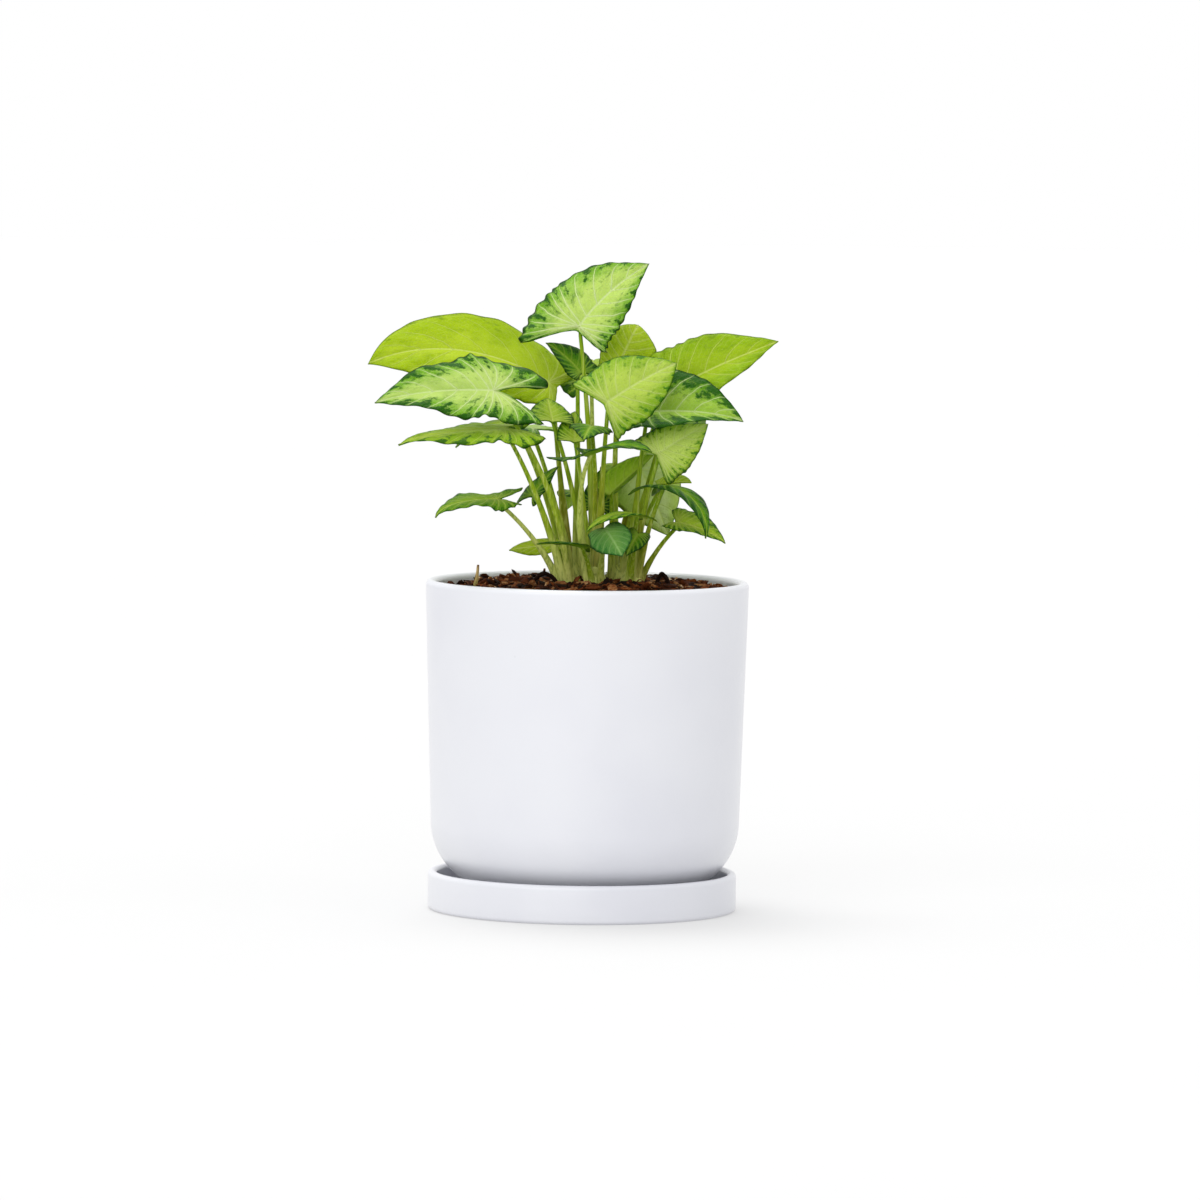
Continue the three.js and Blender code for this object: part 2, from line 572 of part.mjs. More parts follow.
// One point of the blade, the direction of its upper face and its thickness. The half blade is
// folded up along the midrib, cambered, waved at the margin and bent with the midrib.
function bladePoint(leaf, frame, side, s, t) {
  const margin = marginCurve(side > 0 ? leaf.right : leaf.left, leaf.full).getPoint(s);
  const spine = Math.max(blade.fan, margin.z);
  const x = t * margin.x;
  const y = spine + t * (margin.y - spine);
  const slope = Math.tan(THREE.MathUtils.degToRad(leaf.fold));
  const [height, count, phase] = leaf.wave;
  const wave = height * Math.sin(2 * Math.PI * (count * s + phase)) * t ** 3 * Math.sin(Math.PI * s);
  const droop = leaf.droop ?? blade.droop;
  const lift = slope * x - blade.camber * x * x - droop * Math.min(0, y) ** 2 + wave;
  const onMidrib = Math.abs(x) < 1e-6;
  const lean = onMidrib ? 0 : -side * (slope - 2 * blade.camber * x);
  const rib = midribAt(leaf, y);
  const place = (across, up) => rib.across.clone().multiplyScalar(across).addScaledVector(rib.up, up);
  const point = place(x * side, lift).add(rib.point).multiplyScalar(frame.length);
  return {
    point: point.applyMatrix4(frame.matrix).add(frame.origin),
    normal: place(lean, 1).normalize().applyMatrix4(frame.matrix),
    thickness: blade.thickness + (onMidrib ? blade.rib * (1 - spine) : 0),
  };
}

// The blade as a closed sheet with a rib under the midrib. extra thickens both faces.
function bladeGeometry(leaf, extra = 0) {
  const frame = bladeFrame(leaf);
  const large = frame.length > blade.large;
  const levels = large ? [0, 0.1, 0.5, 1] : [0, 0.5, 1];
  const steps = large ? 12 : 8;
  const points = [];
  const triangles = [];
  const quad = (a, b, c, d, flip) => {
    if (flip) triangles.push(a, c, b, a, d, c);
    else triangles.push(a, b, c, a, c, d);
  };
  for (const side of [1, -1]) {
    const start = points.length / 3;
    for (let i = 0; i <= steps; i += 1) {
      for (const t of levels) {
        const { point, normal, thickness } = bladePoint(leaf, frame, side, i / steps, t);
        const top = point.clone().addScaledVector(normal, extra);
        const under = point.clone().addScaledVector(normal, -thickness - extra);
        points.push(...top.toArray(), ...under.toArray());
      }
    }
    const at = (i, j, face) => start + 2 * (i * levels.length + j) + face;
    const flip = side < 0;
    for (let i = 0; i < steps; i += 1) {
      for (let j = 0; j < levels.length - 1; j += 1) {
        quad(at(i, j, 0), at(i, j + 1, 0), at(i + 1, j + 1, 0), at(i + 1, j, 0), flip);
        quad(at(i, j, 1), at(i, j + 1, 1), at(i + 1, j + 1, 1), at(i + 1, j, 1), !flip);
      }
      const j = levels.length - 1;
      quad(at(i, j, 0), at(i, j, 1), at(i + 1, j, 1), at(i + 1, j, 0), flip);
    }
  }
  return closedGeometry(meshOf(points, triangles));
}

// The room that a blade takes at its stalk, with clearance: a block over the blade's underside,
// with the blade's fold, from just behind the notch
function bladeRoom(leaf) {
  const { matrix, origin, length } = bladeFrame(leaf);
  const { across, along, up } = midribAt(leaf, 0);
  const { behind, ahead, halfWidth, above } = attachRoom;
  const rise = halfWidth * Math.tan(THREE.MathUtils.degToRad(leaf.fold));
  const ribFoot = -blade.thickness - blade.rib - gap;
  const section = [
    [0, ribFoot],
    [halfWidth, rise + ribFoot],
    [-halfWidth, rise + ribFoot],
    [halfWidth, rise + above],
    [-halfWidth, rise + above],
  ];
  const corners = section.flatMap(([x, z]) => [-behind, ahead].map((y) => {
    const point = across.clone().multiplyScalar(x).addScaledVector(along, y).addScaledVector(up, z);
    return point.applyMatrix4(matrix).add(origin).toArray();
  }));
  return wasm.Manifold.hull(corners);
}

// Leaf stalk: a parabola from the stem's foot through a point on its way to the blade
function stalkCurve(leaf) {
  const { at } = shoots[leaf.shoot];
  const [x, y] = [at[0] + leaf.foot[0], at[1] + leaf.foot[1]];
  const foot = new THREE.Vector3(x, y, mixHeight(x, y) - 2 * stem.raised);
  const frame = bladeFrame(leaf);
  const end = midribAt(leaf, stalk.attachInset / frame.length).point.multiplyScalar(frame.length);
  end.z -= blade.thickness / 2;
  end.applyMatrix4(frame.matrix).add(frame.origin);
  const [aside, upward] = stalk.bow;
  const bowed = foot.clone().add(end.clone().sub(foot).multiply(vector([aside, aside, upward])));
  const over = leaf.via ? vector(leaf.via) : bowed;
  return { ...parabola(foot, over, end), length: foot.distanceTo(end) };
}

// Thick at the foot and slender above: the radius falls with the square of the way up, and the
// longer the stalk, the thicker its foot
function stalkRadius(length) {
  const foot = stalk.footRadius + length / 70;
  return (u) => stalk.tipRadius + (foot - stalk.tipRadius) * (1 - u) ** 2;
}

function stalkSolid(leaf) {
  const { curve, normal, length } = stalkCurve(leaf);
  const rod = rodGeometry(curve, normal, stalkRadius(length), stalk.sides, stalk.steps);
  return toSolid(rod).subtract(bladeRoom(leaf));
}

// Short stem under the sheaths, standing in the mix. extra is the clearance of its hole.
function stemSolid({ at: [x, y], radius }, extra = 0) {
  const top = mixHeight(x, y) + stem.raised + extra;
  const bottom = top - stem.depth - 2 * extra;
  const foot = stem.taper * radius + extra;
  const cone = new THREE.CylinderGeometry(radius + 4 * extra, foot, top - bottom, 10);
  return toSolid(cone.rotateX(Math.PI / 2).translate(x, y, (top + bottom) / 2));
}

function shootGeometry(name) {
  const own = Object.values(leaves).filter((leaf) => leaf.shoot === name);
  return toGeometry(largest(joined([stemSolid(shoots[name]), ...own.map(stalkSolid)])));
}

// Scene graph
const plant = new THREE.Group();
const potGroup = new THREE.Group();
potGroup.position.x = pot.x;

function addNode(group, name, geometry, finish) {
  const mesh = new THREE.Mesh(closedGeometry(geometry), new THREE.MeshStandardMaterial(finishes[finish]));
  mesh.name = name;
  group.add(mesh);
}

addNode(plant, 'saucer', saucerGeometry(), 'ceramic');
addNode(potGroup, 'pot', potGeometry(), 'ceramic');
plant.add(potGroup);

addNode(plant, 'potting_mix', mixGeometry(), 'mix');
addNode(plant, 'withered_stub', toGeometry(stubSolid()), 'withered');

Object.keys(shoots).forEach((name) => addNode(plant, name, shootGeometry(name), 'stalk'));
Object.entries(leaves).forEach(([name, leaf]) => addNode(plant, name, bladeGeometry(leaf), leaf.tone));

export default plant;
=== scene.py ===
import bmesh
import bpy
import numpy as np
from mathutils import Matrix, Vector


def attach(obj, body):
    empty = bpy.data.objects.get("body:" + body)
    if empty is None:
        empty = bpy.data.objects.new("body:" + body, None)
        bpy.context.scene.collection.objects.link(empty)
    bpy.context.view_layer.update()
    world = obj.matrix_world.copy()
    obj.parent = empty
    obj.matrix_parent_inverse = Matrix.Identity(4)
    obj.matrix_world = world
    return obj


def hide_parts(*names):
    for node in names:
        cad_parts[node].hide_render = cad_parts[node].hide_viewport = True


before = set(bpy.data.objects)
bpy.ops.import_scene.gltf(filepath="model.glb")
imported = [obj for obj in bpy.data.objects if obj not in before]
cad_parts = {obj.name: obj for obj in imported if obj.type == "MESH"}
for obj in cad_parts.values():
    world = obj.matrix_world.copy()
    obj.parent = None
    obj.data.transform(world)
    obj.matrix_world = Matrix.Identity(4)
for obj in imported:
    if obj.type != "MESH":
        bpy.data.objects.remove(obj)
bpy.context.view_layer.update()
metre = 0.001  # metres in a millimetre
print("frame loaded:", len(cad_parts), "nodes")


# Shader wires

class Wire:
    # One socket of a material's tree. A sum or product of wires adds its Math node.

    def __init__(self, tree, socket=None):
        self.tree = tree
        self.socket = socket

    def add(self, kind, settings=None, sockets=None, output=0):
        # A node with its settings, then a value or a link in each socket that is named
        node = self.tree.nodes.new("ShaderNode" + kind)
        for name, value in (settings or {}).items():
            if name == "stops":
                ramp = node.color_ramp.elements
                while len(ramp) < len(value):
                    ramp.new(0.5)
                for stop, (position, shade) in zip(ramp, value):
                    stop.position = position
                    stop.color = shade
            else:
                setattr(node, name, value)
        for name, value in (sockets or {}).items():
            if isinstance(value, Wire):
                self.tree.links.new(value.socket, node.inputs[name])
            else:
                node.inputs[name].default_value = value
        return Wire(self.tree, node.outputs[output])

    def parts(self):
        # x, y and z of a vector
        split = self.add("SeparateXYZ", {}, {"Vector": self})
        return [Wire(self.tree, output) for output in split.socket.node.outputs]

    def maths(self, operation, *values):
        return self.add("Math", {"operation": operation}, dict(enumerate(values)))

    def __add__(self, other):
        return self.maths("ADD", self, other)

    def __sub__(self, other):
        return self.maths("SUBTRACT", self, other)

    def __rsub__(self, other):
        return self.maths("SUBTRACT", other, self)

    def __mul__(self, other):
        return self.maths("MULTIPLY", self, other)

    def __abs__(self):
        return self.maths("ABSOLUTE", self)

    __radd__ = __add__
    __rmul__ = __mul__

    def between(self, low, high):
        # 0 at low and 1 at high, smooth in between; low may be the larger
        settings = {"interpolation_type": "SMOOTHSTEP"}
        return self.add("MapRange", settings, {"Value": self, "From Min": low, "From Max": high})

    def blend(self, first, second):
        # The first colour where this wire is 0 and the second where it is 1
        return self.add("Mix", {"data_type": "RGBA"}, {0: self, 6: first, 7: second}, 2)

    def stretched(self, scale):
        # This vector times another, axis by axis
        return self.add("VectorMath", {"operation": "MULTIPLY"}, {0: self, 1: scale})

    def noise(self, scale, detail=2.0, roughness=0.5):
        sockets = {"Vector": self, "Scale": scale, "Detail": detail, "Roughness": roughness}
        return self.add("TexNoise", {}, sockets)


def shade(code):
    # A colour written as six hexadecimal digits, in linear light
    values = np.array([int(code[i:i + 2], 16) for i in (0, 2, 4)]) / 255
    linear = np.where(values > 0.04045, ((values + 0.055) / 1.055) ** 2.4, values / 12.92)
    return (*linear.tolist(), 1.0)


def newMaterial(name):
    material = bpy.data.materials.new(name)
    material.use_nodes = True
    material.node_tree.nodes.clear()
    return material, Wire(material.node_tree)


def finishMaterial(wires, colour, roughness, height=None, depth=0, through=None, fixed=None):
    # The surface from its colour, roughness and relief, which is depth metres deep. through is a colour and
    # the share of light that passes the surface; fixed holds what is the same all over.
    sockets = {"Base Color": colour, "Roughness": roughness, **(fixed or {})}
    if height is not None:
        sockets["Normal"] = wires.add("Bump", {}, {"Height": height, "Distance": depth, "Strength": 1.0})
    surface = wires.add("BsdfPrincipled", {}, sockets)
    if through:
        passed = wires.add("BsdfTranslucent", {}, {"Color": through[0]})
        surface = wires.add("MixShader", {}, {0: through[1], 1: surface, 2: passed})
    result = wires.tree.nodes.new("ShaderNodeOutputMaterial")
    wires.tree.links.new(surface.socket, result.inputs["Surface"])


# Meshes from grids

def gridFaces(rows, columns, closed=False, flip=False):
    # Quads between neighbours of a grid; closed joins the last column to the first
    row = np.arange(rows - 1)[:, None] * columns
    column = np.arange(columns if closed else columns - 1)[None, :]
    after = (column + 1) % columns
    quads = np.stack([row + column, row + after, row + columns + after, row + columns + column], -1)
    quads = quads.reshape(-1, 4)
    return quads[:, ::-1] if flip else quads


def joinGrids(parts):
    # Several (points, faces, layers) as one, with the faces counted on
    start, points, faces, layers = 0, [], [], {}
    for partPoints, partFaces, partLayers in parts:
        points.append(partPoints.reshape(-1, 3))
        faces.append(partFaces + start)
        start += len(points[-1])
        for name, values in partLayers.items():
            layers.setdefault(name, []).append(values.reshape(-1, 2))
    return np.concatenate(points), np.concatenate(faces), {n: np.concatenate(v) for n, v in layers.items()}


def makePiece(name, points, faces, material, nodes, layers=None):
    # One mesh object in place: points that meet are welded, so seams and poles close
    mesh = bpy.data.meshes.new(name)
    mesh.vertices.add(len(points))
    mesh.vertices.foreach_set("co", (points * metre).astype(np.float32).ravel())
    mesh.loops.add(faces.size)
    mesh.loops.foreach_set("vertex_index", faces.astype(np.int32).ravel())
    mesh.polygons.add(len(faces))
    mesh.polygons.foreach_set("loop_start", np.arange(0, faces.size, faces.shape[1], dtype=np.int32))
    for layer, values in (layers or {}).items():
        corners = mesh.uv_layers.new(name=layer)
        corners.data.foreach_set("uv", values[faces.ravel()].astype(np.float32).ravel())
    mesh.update(calc_edges=True)
    work = bmesh.new()
    work.from_mesh(mesh)
    bmesh.ops.remove_doubles(work, verts=work.verts, dist=2e-6)
    work.to_mesh(mesh)
    work.free()
    mesh.polygons.foreach_set("use_smooth", np.ones(len(mesh.polygons), bool))
    mesh.materials.append(material)
    piece = bpy.data.objects.new(name, mesh)
    bpy.context.scene.collection.objects.link(piece)
    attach(piece, "root")
    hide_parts(*nodes)
    return piece


def arc(x, z, radius, start, end, steps):
    # Points of a circle in the profile plane, between two angles in degrees
    angle = np.radians(np.linspace(start, end, steps + 1))
    return np.stack([x + radius * np.cos(angle), z + radius * np.sin(angle)], -1)


def eased(corners, steps=4):
    # A profile with its corners rounded: each is (x, z, radius), cut back along both sides and
    # joined by the curve (1-u)^2 a + 2u(1-u) corner + u^2 b
    spots = np.array([corner[:2] for corner in corners], float)
    points = []
    for i, corner in enumerate(corners):
        radius = corner[2] if len(corner) > 2 else 0
        if radius == 0 or i in (0, len(corners) - 1):
            points.append(spots[i][None])
            continue
        before, after = spots[i - 1] - spots[i], spots[i + 1] - spots[i]
        a = spots[i] + before / np.linalg.norm(before) * radius
        b = spots[i] + after / np.linalg.norm(after) * radius
        u = np.linspace(0, 1, steps + 1)[:, None]
        points.append((1 - u) ** 2 * a + 2 * u * (1 - u) * spots[i] + u ** 2 * b)
    return np.concatenate(points)


def turned(profile, segments, middle=0):
    # A profile carried round an upright axis: radius times cosine and sine of the turn, at its height
    angle = 2 * np.pi * np.arange(segments) / segments
    radius, height = profile[:, :1], profile[:, 1:]
    across = [middle + radius * np.cos(angle), radius * np.sin(angle), height + 0 * angle]
    return np.stack(across, -1)


def smooth(value, low, high):
    # 0 below low, 1 above high, 3x^2 - 2x^3 in between
    x = np.clip((value - low) / (high - low), 0, 1)
    return x * x * (3 - 2 * x)


# Saucer and pot

saucerShape = {"radius": 76.5, "height": 19, "wall": 4.5, "floor": 5, "edge": 2, "segments": 256}

potShape = {
    "x": 1.1,
    "rimRadius": 80, "rimHeight": 163.4,
    "wallRadius": 76.5, "corner": 35, "underside": 9, "wall": 5,
    "footOuter": 40.5, "footWidth": 5.5, "footBottom": 5.3,
    "notchHalfAngle": 6.8, "notchTop": 8.4,
    "drainRadius": 7.5,
    "segments": 384,
}

glaze = {
    "colour": "d6d7dc", "thin": "cecfd6", "clay": "c4b8a6", "grit": "a99c8a",
    "roughness": 0.3, "relief": 0.00012,   # relief in metres, here and in the settings below
    "clayBelow": 5.6,   # the foot ring stands bare up to this height, in the pot's case
    "fixed": {"Coat Weight": 0.25, "Coat Roughness": 0.22},
}


def glazeMaterial(name, clayBelow=None):
    # Satin white glaze with faint clouds and a very shallow ripple; bare clay where it stands
    material, wires = newMaterial(name)
    place = wires.add("TexCoord", {}, {}, "Object")
    clouds = place.noise(9.0, 3.0)
    ripple = place.noise(160.0, 2.0)
    specks = place.noise(2600.0, 1.0)
    colour = clouds.between(0.35, 0.75).blend(shade(glaze["colour"]), shade(glaze["thin"]))
    roughness = clouds * 0.08 + ripple * 0.05 + (glaze["roughness"] - 0.065)
    height = ripple * 0.5 + specks * 0.05
    if clayBelow:
        level = place.parts()[2] + (clouds - 0.5) * 0.0004
        bare = level.between(clayBelow * metre, (clayBelow - 0.3) * metre)
        grain = place.noise(900.0, 4.0)
        clay = grain.blend(shade(glaze["clay"]), shade(glaze["grit"]))
        colour = bare.blend(colour, clay)
        roughness = roughness + bare * 0.5
        height = height + bare * grain
    finishMaterial(wires, colour, roughness, height, glaze["relief"], fixed=glaze["fixed"])
    return material


def saucerSurface(shape):
    # Flat foot, straight wall, round lip and flat floor, as one profile from axis to axis
    radius, height, wall = shape["radius"], shape["height"], shape["wall"]
    floor, edge, lip = shape["floor"], shape["edge"], shape["wall"] / 2
    profile = np.concatenate([
        [[0, 0], [30, 0], [60, 0]],
        arc(radius - edge, edge, edge, -90, 0, 8),
        [[radius, height * 0.35], [radius, height * 0.6]],
        arc(radius - lip, height - lip, lip, 0, 180, 16),
        arc(radius - wall - edge, floor + edge, edge, 0, -90, 8),
        [[60, floor], [30, floor], [0, floor]],
    ])
    points = turned(profile, shape["segments"])
    return points, gridFaces(len(profile), shape["segments"], closed=True)


def potSurface(shape):
    # One closed profile: underside, foot ring, corner, wall, lip, inside and drain hole. The foot
    # ring's underside rises to the notch's roof in four places round the turn.
    wall, lip, corner = shape["wall"], shape["wall"] / 2, shape["corner"]
    underside, foot = shape["underside"], shape["footBottom"]
    inner = shape["footOuter"] - shape["footWidth"]
    cornerX, cornerZ = shape["wallRadius"] - corner, underside + corner
    outerArc = arc(cornerX, cornerZ, corner, -90, 0, 28)
    lipArc = arc(shape["rimRadius"] - lip, shape["rimHeight"] - lip, lip, 0, 180, 16)
    innerArc = arc(cornerX, cornerZ, corner - wall, 0, -90, 20)
    rise = np.linspace(0, 1, 10)[1:-1, None]
    outerWall = outerArc[-1] + rise * (lipArc[0] - outerArc[-1])
    innerWall = lipArc[-1] + rise * (innerArc[0] - lipArc[-1])
    footRing = eased([
        (shape["drainRadius"] + 2, underside), (inner, underside, 0.7), (inner, foot, 0.9),
        (shape["footOuter"], foot, 0.9), (cornerX, underside),
    ])
    hole = shape["drainRadius"]
    profile = np.concatenate([
        [[hole, underside + 0.6], [hole + 0.2, underside + 0.1]], footRing,
        outerArc[1:], outerWall, lipArc, innerWall, innerArc,
        [[hole + 0.8, underside + wall], [hole, underside + wall - 0.8], [hole, underside + 0.6]],
    ])
    points = turned(profile, shape["segments"])
    angle = np.degrees(2 * np.pi * np.arange(shape["segments"]) / shape["segments"])
    fromNotch = np.abs((angle - 45 + 45) % 90 - 45)
    open_ = smooth(fromNotch, shape["notchHalfAngle"] + 0.9, shape["notchHalfAngle"] - 0.9)
    low = (profile[:, 1] < shape["notchTop"]) & (profile[:, 0] > inner - 1) & (profile[:, 0] < cornerX + 1)
    rows = np.nonzero(low)[0]
    heights = points[rows, :, 2]
    points[rows, :, 2] = heights + (shape["notchTop"] - heights) * open_[None, :]
    points[:, :, 0] += shape["x"]
    return points, gridFaces(len(profile), shape["segments"], closed=True)


points, faces = saucerSurface(saucerShape)
makePiece("saucer_glazed", points.reshape(-1, 3), faces, glazeMaterial("saucer_glaze"), ["saucer"])
points, faces = potSurface(potShape)
potGlaze = glazeMaterial("pot_glaze", glaze["clayBelow"])
makePiece("pot_glazed", points.reshape(-1, 3), faces, potGlaze, ["pot"])
print("saucer and pot turned")


# Potting mix: the mound, its bark chips, fibres and strands, and the withered stub

mixShape = {
    "edgeHeight": 155.5, "moundHeight": 161.5, "roughness": 1.1, "gap": 0.3,
    "rings": 48, "segments": 160, "crumb": 0.8, "seed": 5,
}
chips = {
    "count": 2100, "reach": 73.6, "length": (2.4, 12.0), "width": (0.25, 0.65), "thickness": (0.7, 1.9),
    "raised": (-0.4, 1.5), "tilt": 0.42, "ragged": 0.16, "seed": 11,
}
fibres = {
    "count": 380, "reach": 70, "length": (7, 24), "height": (0.3, 3.2), "radius": (0.12, 0.34), "seed": 23,
}
strands = [
    {"start": (-28, -20, 157), "over": (-20, -22, 168), "end": (-10, -21, 157), "radius": 1.0},
    {"start": (34, -14, 157), "over": (38, -16, 168), "end": (43, -18, 157), "radius": 1.0},
]
barkLook = {
    "browns": [
        (0, "120703"), (0.3, "240f05"), (0.56, "4c220b"), (0.76, "713a17"), (0.9, "9a6f44"), (1, "cbb494"),
    ],
    "damp": "0e0704", "relief": 0.0006, "fixed": {"Specular IOR Level": 0.08},
}
stub = {
    "start": (-56, -8, 153), "over": (-54, -8, 162), "end": (-53, -7.5, 171), "radius": 1.6, "taper": 0.6,
    "olive": "8a8440", "straw": "b59a62", "brown": "6b4a2a", "fleck": "3a2614",
    "relief": 0.0003, "fixed": {"Specular IOR Level": 0.25},
}


def innerRadius(z):
    # Radius of the pot's inner wall at a height above its corner
    cornerZ = potShape["underside"] + potShape["corner"]
    rise = (z - cornerZ) / (potShape["rimHeight"] - cornerZ)
    return potShape["wallRadius"] - potShape["wall"] + rise * (potShape["rimRadius"] - potShape["wallRadius"])


def mixHeight(x, y):
    # A mound that falls with the fourth power of the way out, with lumps of two sizes that fade at the wall
    out = np.hypot(x - potShape["x"], y) / innerRadius(mixShape["edgeHeight"])
    mound = mixShape["moundHeight"] + out ** 4 * (mixShape["edgeHeight"] - mixShape["moundHeight"])
    lumps = np.sin(0.31 * x + 1.3) * np.cos(0.27 * y - 0.4)
    grains = np.sin(0.83 * x - 0.55 * y) * np.sin(0.47 * x + 0.91 * y + 2)
    return mound + mixShape["roughness"] * (lumps + 0.6 * grains) * (1 - out ** 8)


def crumbs(x, y, seed):
    # Fine crumb: the sum of 40 sine waves in seeded directions, each as high as it is long
    draw = np.random.default_rng(seed)
    turn, wave, start = (draw.uniform(*span, 40) for span in ((0, 2 * np.pi), (2.2, 9), (0, 2 * np.pi)))
    phase = (x[..., None] * np.cos(turn) + y[..., None] * np.sin(turn)) * 2 * np.pi / wave + start
    return (np.sin(phase) * wave).sum(-1) / np.sqrt((wave ** 2).sum() / 2)


def mixSurface(shape):
    # The pot's inside one gap in, from the floor's middle to the edge, then rings back to the middle over
    # the mound
    corner = potShape["corner"] - potShape["wall"] - shape["gap"]
    cornerX = potShape["wallRadius"] - potShape["corner"]
    cornerZ = potShape["underside"] + potShape["corner"]
    side = arc(cornerX, cornerZ, corner, -90, 0, 16)
    rim = innerRadius(shape["edgeHeight"]) - shape["gap"]
    below = np.concatenate([[[0, side[0, 1]]], side, [[rim, shape["edgeHeight"] - 0.8]]])
    radius = rim * np.linspace(1, 0, shape["rings"] + 1)
    profile = np.concatenate([below, np.stack([radius, radius * 0], -1)])
    points = turned(profile, shape["segments"])
    points[..., 0] += potShape["x"]
    top = points[len(below):]
    fade = 1 - (radius / rim)[:, None] ** 6
    x, y = top[..., 0], top[..., 1]
    top[..., 2] = mixHeight(x, y) + shape["crumb"] * fade * crumbs(x, y, shape["seed"])
    own = np.full((*points.shape[:2], 2), 0.35)
    return points, gridFaces(len(profile), shape["segments"], closed=True), {"own": own}


def turns(angle, axis):
    # Matrices that turn by each angle about an axis of the frame
    matrix = np.zeros((len(angle), 3, 3))
    after, last = (axis + 1) % 3, (axis + 2) % 3
    matrix[:, axis, axis] = 1
    matrix[:, after, after] = matrix[:, last, last] = np.cos(angle)
    matrix[:, last, after] = np.sin(angle)
    matrix[:, after, last] = -np.sin(angle)
    return matrix


def chipSurfaces(shape):
    # Slabs with rounded ends: longitude and latitude raised to a power under one, stretched to length, width
    # and thickness, knocked ragged, then tipped, turned and laid in the top of the mix
    draw = np.random.default_rng(shape["seed"])
    count, around, levels = shape["count"], 8, 5
    turn = 2 * np.pi * np.arange(around) / around
    level = np.linspace(-np.pi / 2, np.pi / 2, levels)[:, None]
    power = lambda value, p: np.sign(value) * np.abs(value) ** p
    flat = power(np.cos(level), 0.45)
    unit = [flat * power(wave, 0.6) for wave in (np.cos(turn), np.sin(turn))]
    unit.append(power(np.sin(level), 0.7) + 0 * turn)
    shortest, longest = shape["length"]
    length = shortest + (longest - shortest) * draw.random(count) ** 2.2
    width = length * draw.uniform(*shape["width"], count)
    size = np.stack([length, width, draw.uniform(*shape["thickness"], count)], -1) / 2
    knocks = 1 + shape["ragged"] * draw.uniform(-1, 1, (count, levels, around, 3))
    knocks[:, [0, -1]] = knocks[:, [0, -1], :1]
    points = np.stack(unit, -1)[None] * knocks * size[:, None, None, :]
    tipX, tipY = draw.normal(0, shape["tilt"], count), draw.normal(0, shape["tilt"], count)
    turnZ = draw.uniform(0, 2 * np.pi, count)
    points = np.einsum("nij,nlaj->nlai", turns(turnZ, 2) @ turns(tipY, 1) @ turns(tipX, 0), points)
    out = (shape["reach"] - length / 2) * np.sqrt(draw.random(count))
    angle = draw.uniform(0, 2 * np.pi, count)
    x, y = potShape["x"] + out * np.cos(angle), out * np.sin(angle)
    middle = np.stack([x, y, mixHeight(x, y) + draw.uniform(*shape["raised"], count)], -1)
    points += middle[:, None, None, :]
    faces = gridFaces(levels, around, closed=True)
    faces = (faces[None] + (np.arange(count) * levels * around)[:, None, None]).reshape(-1, 4)
    own = np.broadcast_to(draw.random((count, 1, 1, 2)), (count, levels, around, 2))
    return points, faces, {"own": own}


def rod(start, over, end, radiusAt, sides, steps):
    # A tube along the parabola from start through over to end: (1-u)^2 start + 2u(1-u) control + u^2 end,
    # with round sections square to it, in the plane's normal and across. radiusAt takes u and the turn.
    start, over, end = (np.array(point, float) for point in (start, over, end))
    control = 2 * over - (start + end) / 2
    u = np.linspace(0, 1, steps + 1)[:, None]
    middle = (1 - u) ** 2 * start + 2 * u * (1 - u) * control + u ** 2 * end
    tangent = 2 * (1 - u) * (control - start) + 2 * u * (end - control)
    tangent /= np.linalg.norm(tangent, axis=1, keepdims=True)
    normal = np.cross(end - start, over - start)
    normal /= np.linalg.norm(normal)
    across = np.cross(normal, tangent)
    turn = 2 * np.pi * np.arange(sides) / sides
    outward = np.cos(turn)[None, :, None] * normal + np.sin(turn)[None, :, None] * across[:, None]
    points = middle[:, None] + radiusAt(u, turn[None, :])[..., None] * outward
    ends = [np.broadcast_to(middle[k], (1, sides, 3)) for k in (0, -1)]
    points = np.concatenate([ends[0], points, ends[1]])
    return points, gridFaces(steps + 3, sides, closed=True)


def barkStrand(strand):
    # A strand of bark, knobbly: its radius swells by a sine along and round it
    def radiusAt(u, turn):
        knobs = 1 + 0.16 * np.sin(23 * u + 2 * turn) + 0.1 * np.sin(3 * turn + 9 * u)
        return strand["radius"] * knobs * (0.75 + u * (1 - u))

    points, faces = rod(strand["start"], strand["over"], strand["end"], radiusAt, 12, 40)
    return points, faces, {"own": np.full((*points.shape[:2], 2), 0.12)}


def fibreRods(shape):
    # Thin arched fibres that lie on the mix, each ending in it
    draw = np.random.default_rng(shape["seed"])
    middle = np.array([potShape["x"], 0])
    parts = []
    for _ in range(shape["count"]):
        out = shape["reach"] * np.sqrt(draw.random())
        angle, turn = draw.uniform(0, 2 * np.pi), draw.uniform(0, 2 * np.pi)
        half = draw.uniform(*shape["length"]) / 2
        along = np.array([np.cos(turn), np.sin(turn)])
        place = middle + out * np.array([np.cos(angle), np.sin(angle)])
        a, b = place - half * along, place + half * along
        if max(np.hypot(*(a - middle)), np.hypot(*(b - middle))) > shape["reach"] + 2:
            continue
        lift, aside = draw.uniform(*shape["height"]), draw.uniform(-0.3, 0.3) * half
        over = (place[0] - aside * along[1], place[1] + aside * along[0], mixHeight(*place) + lift)
        radius = draw.uniform(*shape["radius"])
        radiusAt = lambda u, t: radius * (1 - 0.4 * u + 0 * t)
        points, faces = rod((*a, mixHeight(*a) - 0.5), over, (*b, mixHeight(*b) - 0.5), radiusAt, 5, 7)
        own = np.array([0.45 + 0.5 * draw.random(), draw.random()])
        parts.append((points, faces, {"own": np.broadcast_to(own, (*points.shape[:2], 2))}))
    return parts


